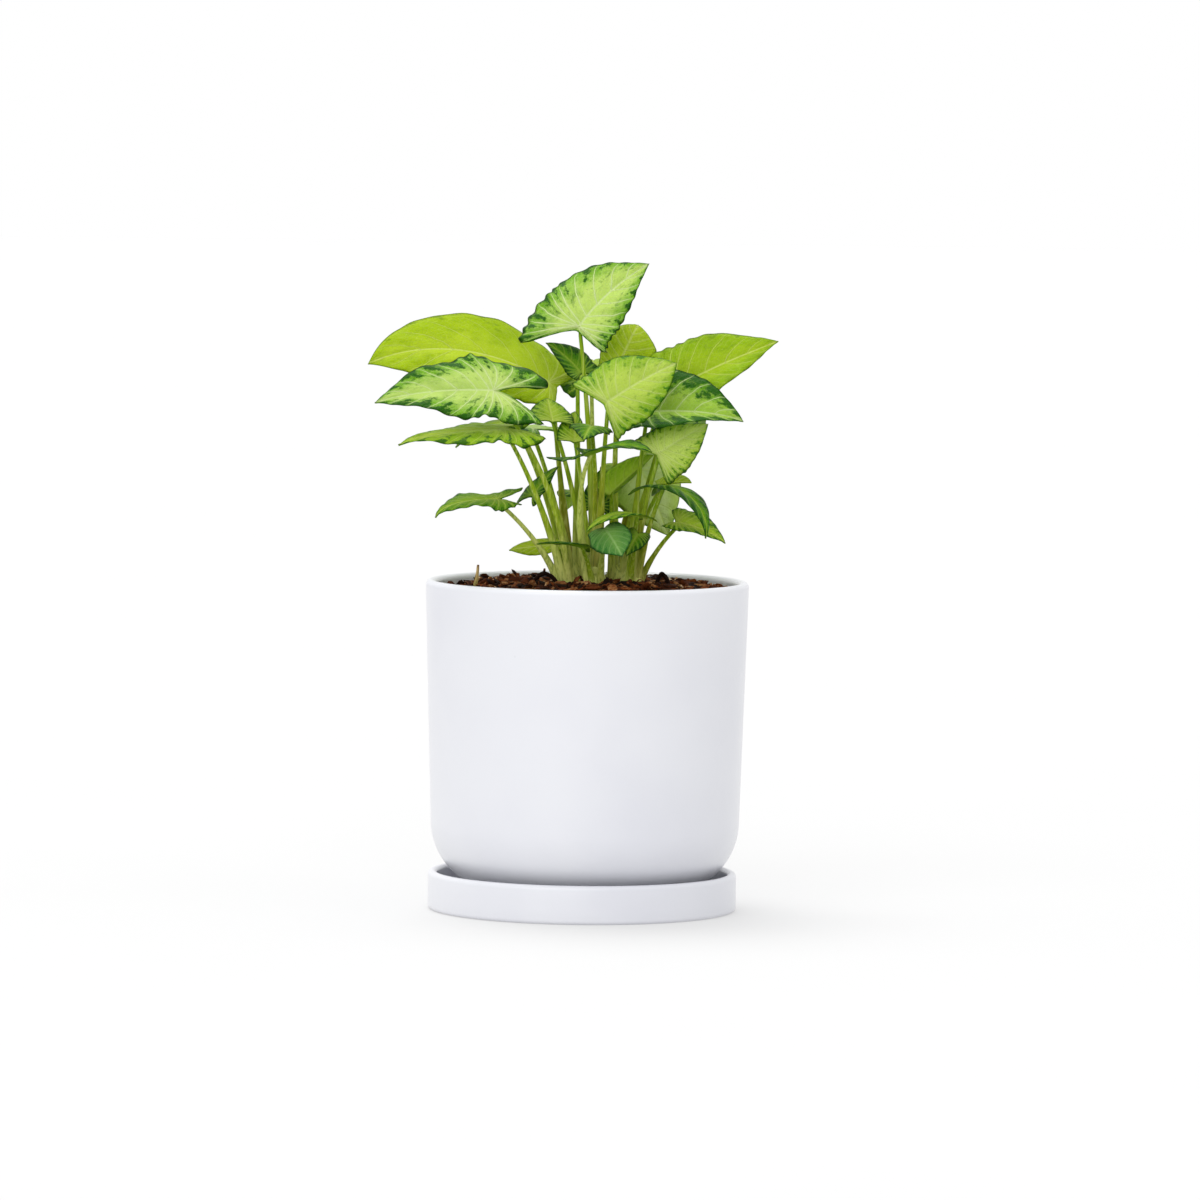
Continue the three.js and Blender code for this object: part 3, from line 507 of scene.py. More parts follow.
def mixMaterial(name):
    # Bark mix: each chip takes its own brown from its UV layer, with grain, dust and dark damp places
    material, wires = newMaterial(name)
    place = wires.add("TexCoord", {}, {}, "Object")
    own, other, _ = wires.add("UVMap", {"uv_map": "own"}).parts()
    grain = place.noise(700.0, 5.0, 0.65)
    streak = place.stretched((1.0, 3.0, 0.6)).noise(420.0, 3.0)
    damp = place.noise(45.0, 2.0)
    stops = [(position, shade(code)) for position, code in barkLook["browns"]]
    tone = own * 0.92 + (streak - 0.5) * 0.55 + (grain - 0.5) * 0.35
    bark = tone.add("ValToRGB", {"stops": stops}, {"Fac": tone})
    bark = ((1 - other) * 0.35 * damp.between(0.35, 0.65)).blend(bark, shade(barkLook["damp"]))
    roughness = grain * 0.25 + 0.68 - damp.between(0.5, 0.8) * 0.25
    height = grain + streak * 0.7
    finishMaterial(wires, bark, roughness, height, barkLook["relief"], fixed=barkLook["fixed"])
    return material


def stubSurface(shape):
    # A shrunken stalk: its radius falls along it, and sinks between five ridges that wind a little
    def radiusAt(u, turn):
        ridges = 1 - 0.1 * (1 + np.cos(5 * turn + 2.5 * u)) - 0.05 * (1 + np.sin(31 * u + 2 * turn))
        return shape["radius"] * (1 - shape["taper"] * u) * ridges

    points, faces = rod(shape["start"], shape["over"], shape["end"], radiusAt, 30, 60)
    along = np.concatenate([[0], np.linspace(0, 1, 61), [1]])
    own = np.stack(np.broadcast_arrays(along[:, None], np.arange(30) / 30), -1)
    return points, faces, {"own": own}


def stubMaterial(name):
    # Dry olive below, straw above, brown at the tip, with fibres along and small dark flecks
    material, wires = newMaterial(name)
    place = wires.add("TexCoord", {}, {}, "Object")
    along = wires.add("UVMap", {"uv_map": "own"}).parts()[0]
    fibre = place.stretched((1.0, 1.0, 0.12)).noise(1500.0, 3.0)
    flecks = place.noise(900.0, 2.0)
    rise = along + (flecks - 0.5) * 0.2
    colour = rise.between(0.3, 0.75).blend(shade(stub["olive"]), shade(stub["straw"]))
    colour = rise.between(0.86, 1.0).blend(colour, shade(stub["brown"]))
    colour = (fibre.between(0.5, 0.7) * 0.5).blend(colour, shade(stub["brown"]))
    colour = (flecks.between(0.62, 0.7) * 0.6).blend(colour, shade(stub["fleck"]))
    height = fibre + flecks * 0.4
    finishMaterial(wires, colour, fibre * 0.2 + 0.62, height, stub["relief"], fixed=stub["fixed"])
    return material


laid = [mixSurface(mixShape), chipSurfaces(chips), *fibreRods(fibres), *map(barkStrand, strands)]
points, faces, layers = joinGrids(laid)
makePiece("bark_mix", points, faces, mixMaterial("bark_mix"), ["potting_mix"], layers)
print("mix laid:", len(faces), "faces")

points, faces, layers = joinGrids([stubSurface(stub)])
dry = stubMaterial("stub_withered")
makePiece("stub_withered", points, faces, dry, ["withered_stub"], layers)
print("stub set")


# Stalks: every leaf's stalk and the stem that its shoot stands on

# Each shoot's place, the radius of its stem and how warm its stalks are
shoots = {
    "shoot_left": {"at": (-9, -9), "radius": 6.5, "warmth": 0.1},
    "shoot_front": {"at": (5, -15), "radius": 6, "warmth": 0.25},
    "shoot_right": {"at": (23, -7), "radius": 6, "warmth": 0.2},
    "shoot_middle": {"at": (4, 1), "radius": 6, "warmth": 0.35},
    "shoot_back_left": {"at": (-6, 14), "radius": 6, "warmth": 0.15},
    "shoot_back_right": {"at": (16, 13), "radius": 6.5, "warmth": 0.3},
}
stalkShape = {
    "tipRadius": 1.0, "footRadius": 1.25, "thicken": 80, "inset": 3.0, "bow": (0.4, 0.4, 0.54),
    "sheathEnd": 0.46, "sheathWiden": 0.26, "groove": 0.36, "sides": 20, "steps": 44,
}
stemShape = {"depth": 23, "taper": 0.6, "crown": 9, "lobes": 5, "segments": 48}

stalkLook = {
    "foot": "d0d678", "middle": "94ae22", "tip": "7ea214", "streak": "4c700a", "blush": "8a6e24",
    "through": "a8c43a", "passed": 0.14, "relief": 0.0003, "fixed": {"Specular IOR Level": 0.1},
}


def smoothStalk(leaf, look=stalkShape):
    # From the foot in its stem to just ahead of the blade's notch. The section is round above, and below it
    # is a sheath: wider across, with a groove up the side that faces the plant's middle. tint is the stalk's
    # own pair of shares, for brown and for pale.
    at = shoots[leaf["shoot"]]["at"]
    x, y = at[0] + leaf["foot"][0], at[1] + leaf["foot"][1]
    foot = np.array([x, y, mixHeight(x, y) - 2])
    blade = bladeFrame(leaf)
    inset = np.array([look["inset"] / blade["length"]])
    end = midrib(leaf, inset)[0][0] * blade["length"] + np.array([0, 0, -0.75])
    end = blade["turn"] @ end + blade["start"]
    over = np.array(leaf.get("via", foot + (end - foot) * look["bow"]), float)
    reach = np.linalg.norm(end - foot)
    thick = look["footRadius"] + reach / look["thicken"]
    normal = np.cross(end - foot, over - foot)
    across = np.cross(normal / np.linalg.norm(normal), (end - foot) / reach)
    inward = np.pi / 2 if across @ np.array([-foot[0], -foot[1], 40.0]) > 0 else -np.pi / 2

    def radiusAt(u, turn):
        radius = look["tipRadius"] + (thick - look["tipRadius"]) * (1 - u) ** 2
        sheath = 1 - smooth(u, look["sheathEnd"] - 0.1, look["sheathEnd"] + 0.04)
        away = np.abs((turn - inward + np.pi) % (2 * np.pi) - np.pi)
        groove = look["groove"] * (0.35 + 0.65 * sheath) * np.exp(-(away / 0.42) ** 2)
        lips = 0.22 * sheath * np.exp(-((away - 0.75) / 0.22) ** 2)
        wide = look["sheathWiden"] * sheath * np.cos(turn) ** 2
        closing = 1 - 0.35 * smooth(u, 0.95, 1)
        return radius * (1 + wide + lips - groove) * closing * (1 + 0.02 * np.sin(7 * turn))

    points, faces = rod(foot, over, end, radiusAt, look["sides"], look["steps"])
    along = np.concatenate([[0], np.linspace(0, 1, look["steps"] + 1), [1]])
    around = np.arange(look["sides"]) / look["sides"]
    own = np.stack(np.broadcast_arrays(along[:, None], around[None, :]), -1)
    x, y, z = leaf["attach"]
    tint = np.array([x * 0.37 + z * 0.11, y * 0.23 + leaf["tip"][0] * 0.17]) % 1
    return points, faces, {"own": own, "tint": np.broadcast_to(tint, own.shape)}


def stemSurface(shoot, number, look=stemShape):
    # The short stem: a cone in the mix and, above it, the crown that the sheaths grow from, with a lobed
    # section that narrows as the square of its rise
    x, y = shoot["at"]
    ground, radius = mixHeight(x, y), shoot["radius"]
    rise = np.linspace(0, 1, 12)
    profile = np.concatenate([
        [[0, ground - look["depth"]], [look["taper"] * radius, ground - look["depth"]]],
        np.stack([radius * (0.94 - 0.62 * rise ** 2), ground + 0.5 + look["crown"] * rise], -1),
        [[0, ground + look["crown"] + 1.2]],
    ])
    points = turned(profile, look["segments"])
    angle = 2 * np.pi * np.arange(look["segments"]) / look["segments"]
    lobe = 1 + 0.09 * np.cos(look["lobes"] * angle + 1.7 * number)
    points[..., :2] *= lobe[None, :, None]
    points[..., 0] += x
    points[..., 1] += y
    own = np.zeros((*points.shape[:2], 2))
    own[..., 1] = angle / (2 * np.pi)
    return points, gridFaces(len(profile), look["segments"], closed=True), {"own": own, "tint": own * 0 + 0.4}


def stalkMaterial(name, warmth):
    # Cream at the foot, green above, with fine streaks along. Each stalk has its own tint, browner or paler.
    material, wires = newMaterial(name)
    place = wires.add("TexCoord", {}, {}, "Object")
    along = wires.add("UVMap", {"uv_map": "own"}).parts()[0]
    brown, pale, _ = wires.add("UVMap", {"uv_map": "tint"}).parts()
    streaks = place.stretched((1.0, 1.0, 0.03)).noise(1000.0, 3.0, 0.55)
    patches = place.noise(60.0, 2.0)
    rise = along + (patches - 0.5) * 0.3
    colour = rise.between(0.02, 0.4).blend(shade(stalkLook["foot"]), shade(stalkLook["middle"]))
    colour = rise.between(0.45, 1.0).blend(colour, shade(stalkLook["tip"]))
    colour = (pale.between(0.55, 1.0) * 0.7).blend(colour, shade(stalkLook["foot"]))
    browned = brown.between(0.3, 0.9) * along.between(0.85, 0.1) * 0.75
    colour = browned.blend(colour, shade(stalkLook["blush"]))
    colour = (streaks.between(0.51, 0.64) * 0.5).blend(colour, shade(stalkLook["streak"]))
    colour = (streaks.between(0.47, 0.36) * 0.5).blend(colour, shade(stalkLook["foot"]))
    colour = (patches.between(0.5, 0.75) * warmth).blend(colour, shade(stalkLook["blush"]))
    through = (shade(stalkLook["through"]), stalkLook["passed"])
    roughness, height = patches * 0.12 + 0.36, streaks * 0.8 + patches * 0.2
    finishMaterial(wires, colour, roughness, height, stalkLook["relief"], through, stalkLook["fixed"])
    return material


# Leaf blades

bladeShape = {
    "camber": 0.7, "droop": 0.3, "fan": 0.05,
    "thickness": 0.5, "depth": 0.35,       # of the sheet, and of its middle below the upper face
    "rib": 0.9, "ribWidth": 0.95, "groove": 0.28,
    "sideVeins": 13, "veinBow": 0.6,       # side veins of a half, and how far they run on to the tip
    "ragged": 0.05, "ruffle": 0.3,         # share of the width that the margin dips by, and of the wave
    "quilt": 0.055,                        # rise of the blade between two veins, by the space between them
    "large": 42, "largeGrid": (120, 15), "smallGrid": (80, 10),
}

# Where the stalk meets the blade, its tip and the way it faces; half width, lobe width and lobe length of
# each half, or of both, in parts of the length; fold, bend, curl and turn in degrees; the margin's wave as
# height, count and phase; where the stalk starts from its stem's middle, and a place that it passes. full
# makes the outline rounder; droop, ragged and look stand in for the blade's and the tone's own values.
leaves = {
    "leaf_top": dict(
        shoot="shoot_middle", tone="variegated",
        ragged=0.11, look=dict(
            pale="c6e06c", palest=0.35, greenest=0.95, darkFrom=0.84, darkTo=1.04, specks=0.65, veins=1.0,
        ),
        attach=(-6, 2, 287), tip=(30, 22, 320), face=(-0.1, -0.9, 0.4),
        left=(0.48, 0.44, 0.3), right=(0.34, 0.34, 0.06), fold=10, bend=16, curl=-10, turn=22,
        wave=(0.03, 4, 0.1), foot=(1, 1),
    ),
    "leaf_left_lime": dict(
        shoot="shoot_back_left", tone="lime",
        attach=(-15, 26, 258), tip=(-109, 10, 269), face=(0, -0.75, 0.65),
        left=(0.25, 0.12, 0.05), right=(0.24, 0.14, 0.04), fold=10, bend=14, curl=12, turn=-58,
        full=0.8, wave=(0.015, 3, 0.3), foot=(-1, 0), via=(-13, 24, 212),
    ),
    "leaf_left_variegated": dict(
        shoot="shoot_left", tone="variegated",
        look=dict(pale="c4de70", palest=0.35, darkFrom=0.68, darkTo=0.92, veins=0.95),
        attach=(-43, -26, 258), tip=(-104, -40, 252), face=(0, -0.7, 0.7),
        left=(0.34, 0.32, 0.33), right=(0.34, 0.15, 0.42), fold=17, bend=16, curl=8, turn=-8,
        wave=(0.03, 4, 0.1), foot=(2, -2), via=(-19, -24, 210),
    ),
    "leaf_left_lower": dict(
        shoot="shoot_left", tone="mid",
        look=dict(ground="90b818", pale="c2da50", darkFrom=0.8, darkTo=1.0),
        attach=(-38, -30, 240), tip=(-92, -50, 232), face=(0, -0.2, 0.98),
        both=(0.34, 0.26, 0.24), fold=4, bend=12, curl=10,
        wave=(0.03, 3, 0.5), foot=(-1, -3), via=(-24, -22, 205),
    ),
    "leaf_left_under": dict(
        shoot="shoot_back_left", tone="mid",
        attach=(-34, 9, 243), tip=(-65, -6, 229), face=(-0.2, -0.2, 0.95),
        both=(0.34, 0.24, 0.14), fold=6, bend=25, curl=10,
        wave=(0.03, 3, 0.2), foot=(-3, -2),
    ),
    "leaf_centre_olive": dict(
        shoot="shoot_middle", tone="mid",
        attach=(-17, -6, 242), tip=(-20, 14, 253), face=(0, 0.3, 0.95),
        left=(0.52, 0.46, 0.02), right=(0.5, 0.4, 0.04), fold=16, bend=12,
        wave=(0.02, 2, 0.2), foot=(-3, 1),
    ),
    "leaf_centre_rolled": dict(
        shoot="shoot_middle", tone="mid",
        attach=(-6, -8, 232), tip=(-6, 8, 247), face=(0, 0.45, 0.9),
        left=(0.4, 0.32, 0.02), right=(0.24, 0.16, 0.02), fold=30, bend=10,
        wave=(0.02, 2, 0.2), foot=(-2, -3),
    ),
    "leaf_centre_broad": dict(
        shoot="shoot_front", tone="pale",
        attach=(8, -30, 252), tip=(44, -12, 272), face=(0, -0.85, 0.5),
        left=(0.48, 0.42, 0.12), right=(0.42, 0.42, 0.12), fold=8, bend=21, curl=6,
        full=0.3, wave=(0.02, 3, 0.2), foot=(1, 2),
    ),
    "leaf_centre_toothed": dict(
        shoot="shoot_front", tone="dark",
        attach=(2.6, -37, 242), tip=(-1.5, -64, 236), face=(0.1, -0.3, 0.95),
        both=(0.38, 0.3, 0.2), fold=8, bend=25,
        wave=(0.03, 4, 0.2), foot=(-1, 1), via=(4.5, -17, 208),
    ),
    "leaf_right_lime": dict(
        shoot="shoot_back_right", tone="lime",
        look=dict(ground="90b40a", pale="a8c41c", darkFrom=0.9, darkTo=1.15, specks=0.4),
        attach=(40, 10, 257), tip=(94, 0, 283), face=(0, -0.8, 0.6),
        left=(0.36, 0.34, 0.2), right=(0.3, 0.26, 0.2), fold=20, bend=14, curl=-10, turn=6,
        wave=(0.025, 4, 0.4), foot=(1, -1), via=(31, 8, 212),
    ),
    "leaf_right_variegated": dict(
        shoot="shoot_right", tone="variegated",
        look=dict(ground="6fa614", pale="aacc48", darkFrom=0.5, darkTo=0.85),
        attach=(27, 0, 247), tip=(77, -20, 244), face=(0, -0.73, 0.68),
        left=(0.4, 0.3, 0.2), right=(0.36, 0.3, 0.14), fold=34, bend=16, curl=16, turn=6,
        wave=(0.02, 4, 0.1), foot=(-1, 1),
    ),
    "leaf_right_lower": dict(
        shoot="shoot_right", tone="pale",
        # Its look is brighter than the pale tone's. This is painted light: it stands in for light shining
        # through this leaf, which faces down and away from the lamps.
        look=dict(ground="a0c22c", pale="c8de68", darkFrom=0.8, darkTo=1.05, specks=0.8),
        attach=(34, -20, 227), tip=(60, -6, 242), face=(0, -0.9, 0.45),
        left=(0.4, 0.34, 0.2), right=(0.46, 0.44, 0.12), fold=7, bend=18,
        wave=(0.02, 3, 0.2), foot=(0, -2),
    ),
    "leaf_front_arched": dict(
        shoot="shoot_front", tone="dark",
        attach=(0, -46, 228), tip=(32, -72, 231), face=(0, -0.2, 1),
        left=(0.34, 0.28, 0.3), right=(0.34, 0.3, 0.3), fold=14, bend=34, curl=10, droop=-2,
        wave=(0.02, 3, 0.2), foot=(-2, -2), via=(-3, -28, 200),
    ),
    "leaf_spear": dict(
        shoot="shoot_back_right", tone="mid",
        attach=(10, -6, 206), tip=(33, 4, 226), face=(0.1, 0.8, 0.5),
        both=(0.2, 0.1, 0.02), fold=50, bend=6,
        full=0.5, wave=(0.01, 2, 0.2), foot=(-3, -2),
    ),
    "leaf_back_pale": dict(
        shoot="shoot_back_right", tone="pale",
        look=dict(ground="b8d260", pale="d6e69c", darkFrom=1.1, darkTo=1.4, specks=0.1),
        attach=(26, 22, 220), tip=(41, 32, 184), face=(0.1, -0.9, 0.4),
        both=(0.5, 0.4, 0.2), fold=8, bend=20, curl=10,
        wave=(0.02, 3, 0.2), foot=(0, 2), via=(20, 27, 195),
    ),
    "leaf_right_hooked": dict(
        shoot="shoot_right", tone="dark",
        attach=(36, -20, 212), tip=(59, -38, 187), face=(0.5, -0.3, 0.8),
        both=(0.28, 0.24, 0.3), fold=8, bend=86, curl=20,
        wave=(0.01, 3, 0.2), foot=(2, -1),
    ),
    "leaf_right_rolled": dict(
        shoot="shoot_back_right", tone="lime",
        attach=(35, 2, 211), tip=(52, -4, 213), face=(0, -0.4, 0.9),
        both=(0.3, 0.2, 0.1), fold=30, bend=20,
        full=1, wave=(0.01, 2, 0.2), foot=(3, 0),
    ),
    "leaf_right_low": dict(
        shoot="shoot_right", tone="mid",
        attach=(44, -14, 194), tip=(69, -22, 184), face=(0.2, -0.6, 0.8),
        left=(0.38, 0.3, 0.2), right=(0.3, 0.24, 0.14), fold=20, bend=30, curl=10,
        wave=(0.02, 3, 0.2), foot=(3, 2),
    ),
    "leaf_left_low": dict(
        shoot="shoot_left", tone="mid",
        look=dict(ground="5c920f", pale="8cb22e", darkFrom=0.8, darkTo=1.1, specks=0.3),
        attach=(-42, -28, 205), tip=(-74, -40, 196), face=(-0.1, -0.3, 0.95),
        left=(0.34, 0.26, 0.2), right=(0.4, 0.3, 0.42), fold=8, bend=20, curl=50, droop=-0.8,
        wave=(0.04, 3, 0.2), foot=(-3, -2),
    ),
    "leaf_left_small": dict(
        shoot="shoot_left", tone="dark",
        attach=(-27, -8, 205), tip=(-14, -2, 220), face=(-0.4, -0.5, 0.75),
        left=(0.44, 0.7, 0.4), right=(0.3, 0.2, 0.2), fold=10, bend=20,
        wave=(0.02, 2, 0.2), foot=(-3, 2),
    ),
    "leaf_left_yellow": dict(
        shoot="shoot_back_left", tone="lime",
        attach=(-13, 4, 181), tip=(-38, 2, 178), face=(0, -0.6, 0.8),
        both=(0.26, 0.12, 0.04), fold=4, bend=10,
        full=0.8, wave=(0.01, 2, 0.2), foot=(-1, -3),
    ),
    "leaf_front_thin": dict(
        shoot="shoot_front", tone="dark",
        attach=(1, -32, 182), tip=(-24, -42, 184), face=(0, 0.1, 1),
        both=(0.3, 0.22, 0.16), fold=8, bend=24,
        wave=(0.03, 2, 0.2), foot=(-1, -3),
    ),
    "leaf_front_teal": dict(
        shoot="shoot_front", tone="teal",
        attach=(9, -36, 192), tip=(18, -54, 179), face=(0, -0.9, 0.4),
        both=(0.46, 0.34, 0.16), fold=4, bend=30,
        full=0.6, wave=(0.02, 2, 0.2), foot=(2, -2),
    ),
    "leaf_front_arch": dict(
        shoot="shoot_right", tone="mid",
        attach=(28, -26, 197), tip=(0, -44, 190), face=(-0.1, -0.1, 1),
        both=(0.28, 0.2, 0.14), fold=10, bend=60,
        wave=(0.02, 2, 0.2), foot=(-2, -3),
    ),
    "leaf_right_small": dict(
        shoot="shoot_right", tone="dark",
        attach=(26, -27, 189), tip=(20, -37, 178), face=(0, -0.8, 0.5),
        both=(0.4, 0.3, 0.2), fold=6, bend=20,
        wave=(0.02, 2, 0.2), foot=(-1, -3),
    ),
    "leaf_upper_lime": dict(
        shoot="shoot_back_right", tone="lime",
        attach=(14, 30, 266), tip=(25, 38, 289), face=(0, -0.9, 0.3),
        left=(0.5, 0.4, 0.1), right=(0.6, 0.4, 0.1), fold=4, bend=24, curl=50,
        full=1, wave=(0.01, 3, 0.2), foot=(-2, 1), via=(14, 14, 214),
    ),
    "leaf_upper_dark": dict(
        shoot="shoot_back_left", tone="dark",
        attach=(-3, 20, 265), tip=(-21, 28, 280), face=(0.2, -0.7, 0.6),
        left=(0.3, 0.2, 0.1), right=(0.4, 0.3, 0.2), fold=20, bend=10, turn=-20,
        wave=(0.02, 3, 0.2), foot=(2, 0),
    ),
    "leaf_inner_dark": dict(
        shoot="shoot_middle", tone="dark",
        attach=(5, 9, 200), tip=(7, 14, 218), face=(0, -0.9, 0.4),
        both=(0.4, 0.3, 0.2), fold=10, bend=10,
        wave=(0.02, 2, 0.2), foot=(2, 2),
    ),
    "leaf_back_left": dict(
        shoot="shoot_back_left", tone="variegated",
        attach=(-26, 44, 236), tip=(-58, 84, 226), face=(-0.1, 0.2, 0.95),
        both=(0.38, 0.24, 0.3), fold=14, bend=30, curl=10, turn=10,
        wave=(0.03, 4, 0.7), foot=(-2, 3),
    ),
    "leaf_back_right": dict(
        shoot="shoot_back_right", tone="variegated",
        attach=(32, 46, 240), tip=(58, 88, 232), face=(0.1, 0.3, 0.95),
        both=(0.38, 0.24, 0.3), fold=14, bend=30, curl=10, turn=-10,
        wave=(0.03, 4, 0.4), foot=(2, 3),
    ),
    "leaf_back_middle": dict(
        shoot="shoot_middle", tone="mid",
        attach=(2, 40, 262), tip=(4, 84, 268), face=(0, 0.1, 1),
        both=(0.38, 0.24, 0.3), fold=14, bend=34, curl=10, turn=16,
        wave=(0.03, 3, 0.9), foot=(0, 3),
    ),
    "leaf_back_low": dict(
        shoot="shoot_back_left", tone="mid",
        attach=(0, 46, 204), tip=(-10, 78, 194), face=(0, 0.3, 0.95),
        both=(0.36, 0.24, 0.26), fold=12, bend=40, curl=10,
        wave=(0.03, 3, 0.6), foot=(1, 3),
    ),
}


def outline(half, full=0):
    # Half outline from the notch over the lobe to the tip: across, along, and the point of the midrib that
    # the vein to this place leaves from. A rounder blade has its widest part nearer the middle.
    width, lobeX, lobeY = half
    fan = bladeShape["fan"]
    return np.array([
        (0, 0, fan),
        (0.44 * lobeX, -0.5 * lobeY, fan),
        (lobeX, -lobeY, fan),
        (0.36 * lobeX + (0.72 - 0.3 * full) * width, -0.42 * lobeY, fan),
        ((1 - 0.2 * full) * width, 0.12 + 0.03 * full, fan),
        ((0.97 + 0.03 * full) * width, 0.3 + 0.1 * full, 0.13 + 0.05 * full),
        ((0.7 + 0.15 * full) * width, 0.58 + 0.1 * full, 0.38 + 0.06 * full),
        ((0.3 + 0.15 * full) * width, 0.83 + 0.04 * full, 0.7),
        (0, 1, 1),
    ])


def throughPoints(points, s):
    # The smooth curve through the points: a cubic over each span, whose slope at a point is half the step
    # between its neighbours
    ends = np.vstack([2 * points[0] - points[1], points, 2 * points[-1] - points[-2]])
    place = s * (len(points) - 1)
    span = np.minimum(place.astype(int), len(points) - 2)
    f = (place - span)[:, None]
    a, b, c, d = (ends[span + k] for k in range(4))
    return (2 * b + (c - a) * f + (2 * a - 5 * b + 4 * c - d) * f ** 2 + (3 * b - a - 3 * c + d) * f ** 3) / 2


def midrib(leaf, y):
    # Point, along, across and up of the midrib at y: it turns down by bend y + curl y^5 and aside by turn y,
    # and its point is y times the mean of eight directions on the way
    def directions(u):
        down = np.radians(leaf["bend"] * u + leaf.get("curl", 0) * u ** 5)
        aside = np.radians(leaf.get("turn", 0) * u)
        along = np.stack([np.sin(aside) * np.cos(down), np.cos(aside) * np.cos(down), -np.sin(down)], -1)
        across = np.stack([np.cos(aside), -np.sin(aside), 0 * aside], -1)
        up = np.stack([np.sin(aside) * np.sin(down), np.cos(aside) * np.sin(down), np.cos(down)], -1)
        return along, across, up

    point = sum(directions(y * (i + 0.5) / 8)[0] for i in range(8)) * y[..., None] / 8
    return (point, *directions(y))


def bladeFrame(leaf):
    # Turns the blade's own chord and face to the chord from attach to tip and the way it faces
    def square(facing, chord):
        up = facing - chord * (facing @ chord)
        up /= np.linalg.norm(up)
        return np.stack([np.cross(chord, up), chord, up], -1)

    end = midrib(leaf, np.array([1.0]))[0][0]
    chord = np.subtract(leaf["tip"], leaf["attach"]).astype(float)
    length = np.linalg.norm(chord) / np.linalg.norm(end)
    own = square(np.array([0, 0, 1.0]), end / np.linalg.norm(end))
    turn = square(np.array(leaf["face"], float), chord / np.linalg.norm(chord)) @ own.T
    return {"turn": turn, "start": np.array(leaf["attach"], float), "length": length}


def halfBlade(leaf, blade, side, grid):
    # One half on a grid of s, round the margin from notch to tip, and t, from midrib to margin. A side vein
    # is a line of the same s. Height is fold x - camber x^2 - droop y^2 behind the notch + a margin wave and
    # its ruffle, and the sheet bulges between its veins and has a groove over the midrib and a rib under it.
    # The margin dips in by the product of two sines.
    rows, columns = grid
    shape = bladeShape
    s = np.linspace(0, 1, rows + 1)
    t = np.linspace(0, 1, columns + 1)[None, :] ** 1.5
    half = leaf.get("both") or leaf["right" if side > 0 else "left"]
    margin = throughPoints(outline(half, leaf.get("full", 0)), s)
    height, count, phase = leaf["wave"]
    dips = np.sin(2 * np.pi * (6.3 * s + 3 * phase)) * np.sin(2 * np.pi * (10.7 * s + side * 0.3 + phase))
    margin[:, 0] *= 1 - leaf.get("ragged", shape["ragged"]) * (0.5 + 0.5 * dips) * np.sin(np.pi * s)
    spine = np.maximum(shape["fan"], margin[:, 2:])
    x = t * margin[:, :1]
    y = spine + t * (margin[:, 1:2] - spine)
    slope = np.tan(np.radians(leaf["fold"]))
    around = s[:, None]
    away = height * np.sin(np.pi * around)
    wave = away * np.sin(2 * np.pi * (count * around + phase)) * t ** 3
    ruffle = shape["ruffle"] * away * np.sin(2 * np.pi * (3.7 * count * around + 2 * phase)) * t ** 6
    droop = leaf.get("droop", shape["droop"])
    lift = slope * x - shape["camber"] * x ** 2 - droop * np.minimum(0, y) ** 2 + wave + ruffle
    point, along, across, up = midrib(leaf, y)
    sheet = (point + across * (x * side)[..., None] + up * lift[..., None]) * blade["length"]
    lean = -side * (slope - 2 * shape["camber"] * x) * smooth(x * blade["length"], 0, 1.2)
    normal = across * lean[..., None] + up
    normal /= np.linalg.norm(normal, axis=-1, keepdims=True)

    space = np.linalg.norm(np.gradient(sheet, axis=0), axis=-1) * rows / shape["sideVeins"]
    reach = np.linalg.norm(sheet - sheet[:, :1], axis=-1)[:, -1:] + 0 * t
    vein = shape["sideVeins"] * around - shape["veinBow"] * t ** 2
    bulge = (0.5 + 0.5 * np.cos(2 * np.pi * vein)) * smooth(t, 0.04, 0.3) * (1 - smooth(t, 0.8, 1))
    quilt = shape["quilt"] * np.minimum(space, 9) * bulge * smooth(around, 0, 0.08)
    fromRib = blade["length"] * np.hypot(x, np.minimum(y, 0))
    rib = np.exp(-(fromRib / shape["ribWidth"]) ** 2) * (1 - 0.75 * np.clip(y, 0, 1))
    edge = np.sqrt(1 - t ** 8)
    middle = -shape["depth"] + quilt
    top = middle + shape["thickness"] / 2 * edge - shape["groove"] * rib
    under = middle - shape["thickness"] / 2 * edge - shape["rib"] * rib * edge
    faces = gridFaces(rows + 1, columns + 1, flip=side > 0)
    parts = []
    for offset, isUnder in ((top, 0), (under, 1)):
        points = (sheet + normal * offset[..., None]) @ blade["turn"].T + blade["start"]
        grid = np.stack(np.broadcast_arrays(around + 2 * isUnder, 0.5 + side * t / 2), -1)
        layers = {"grid": grid, "size": np.stack([space, reach], -1) / 100}
        parts.append((points, faces[:, ::-1] if isUnder else faces, layers))
    return parts


# Leaf colours: ground between the veins, pale middle, veins, dark margin, underside and what shines through.
# palest and greenest say where the pale middle ends, from midrib 0 to margin 1; darkFrom and darkTo where the
# dark margin begins. glow is how far a vein pales its sides, in millimetres; the rest are shares.

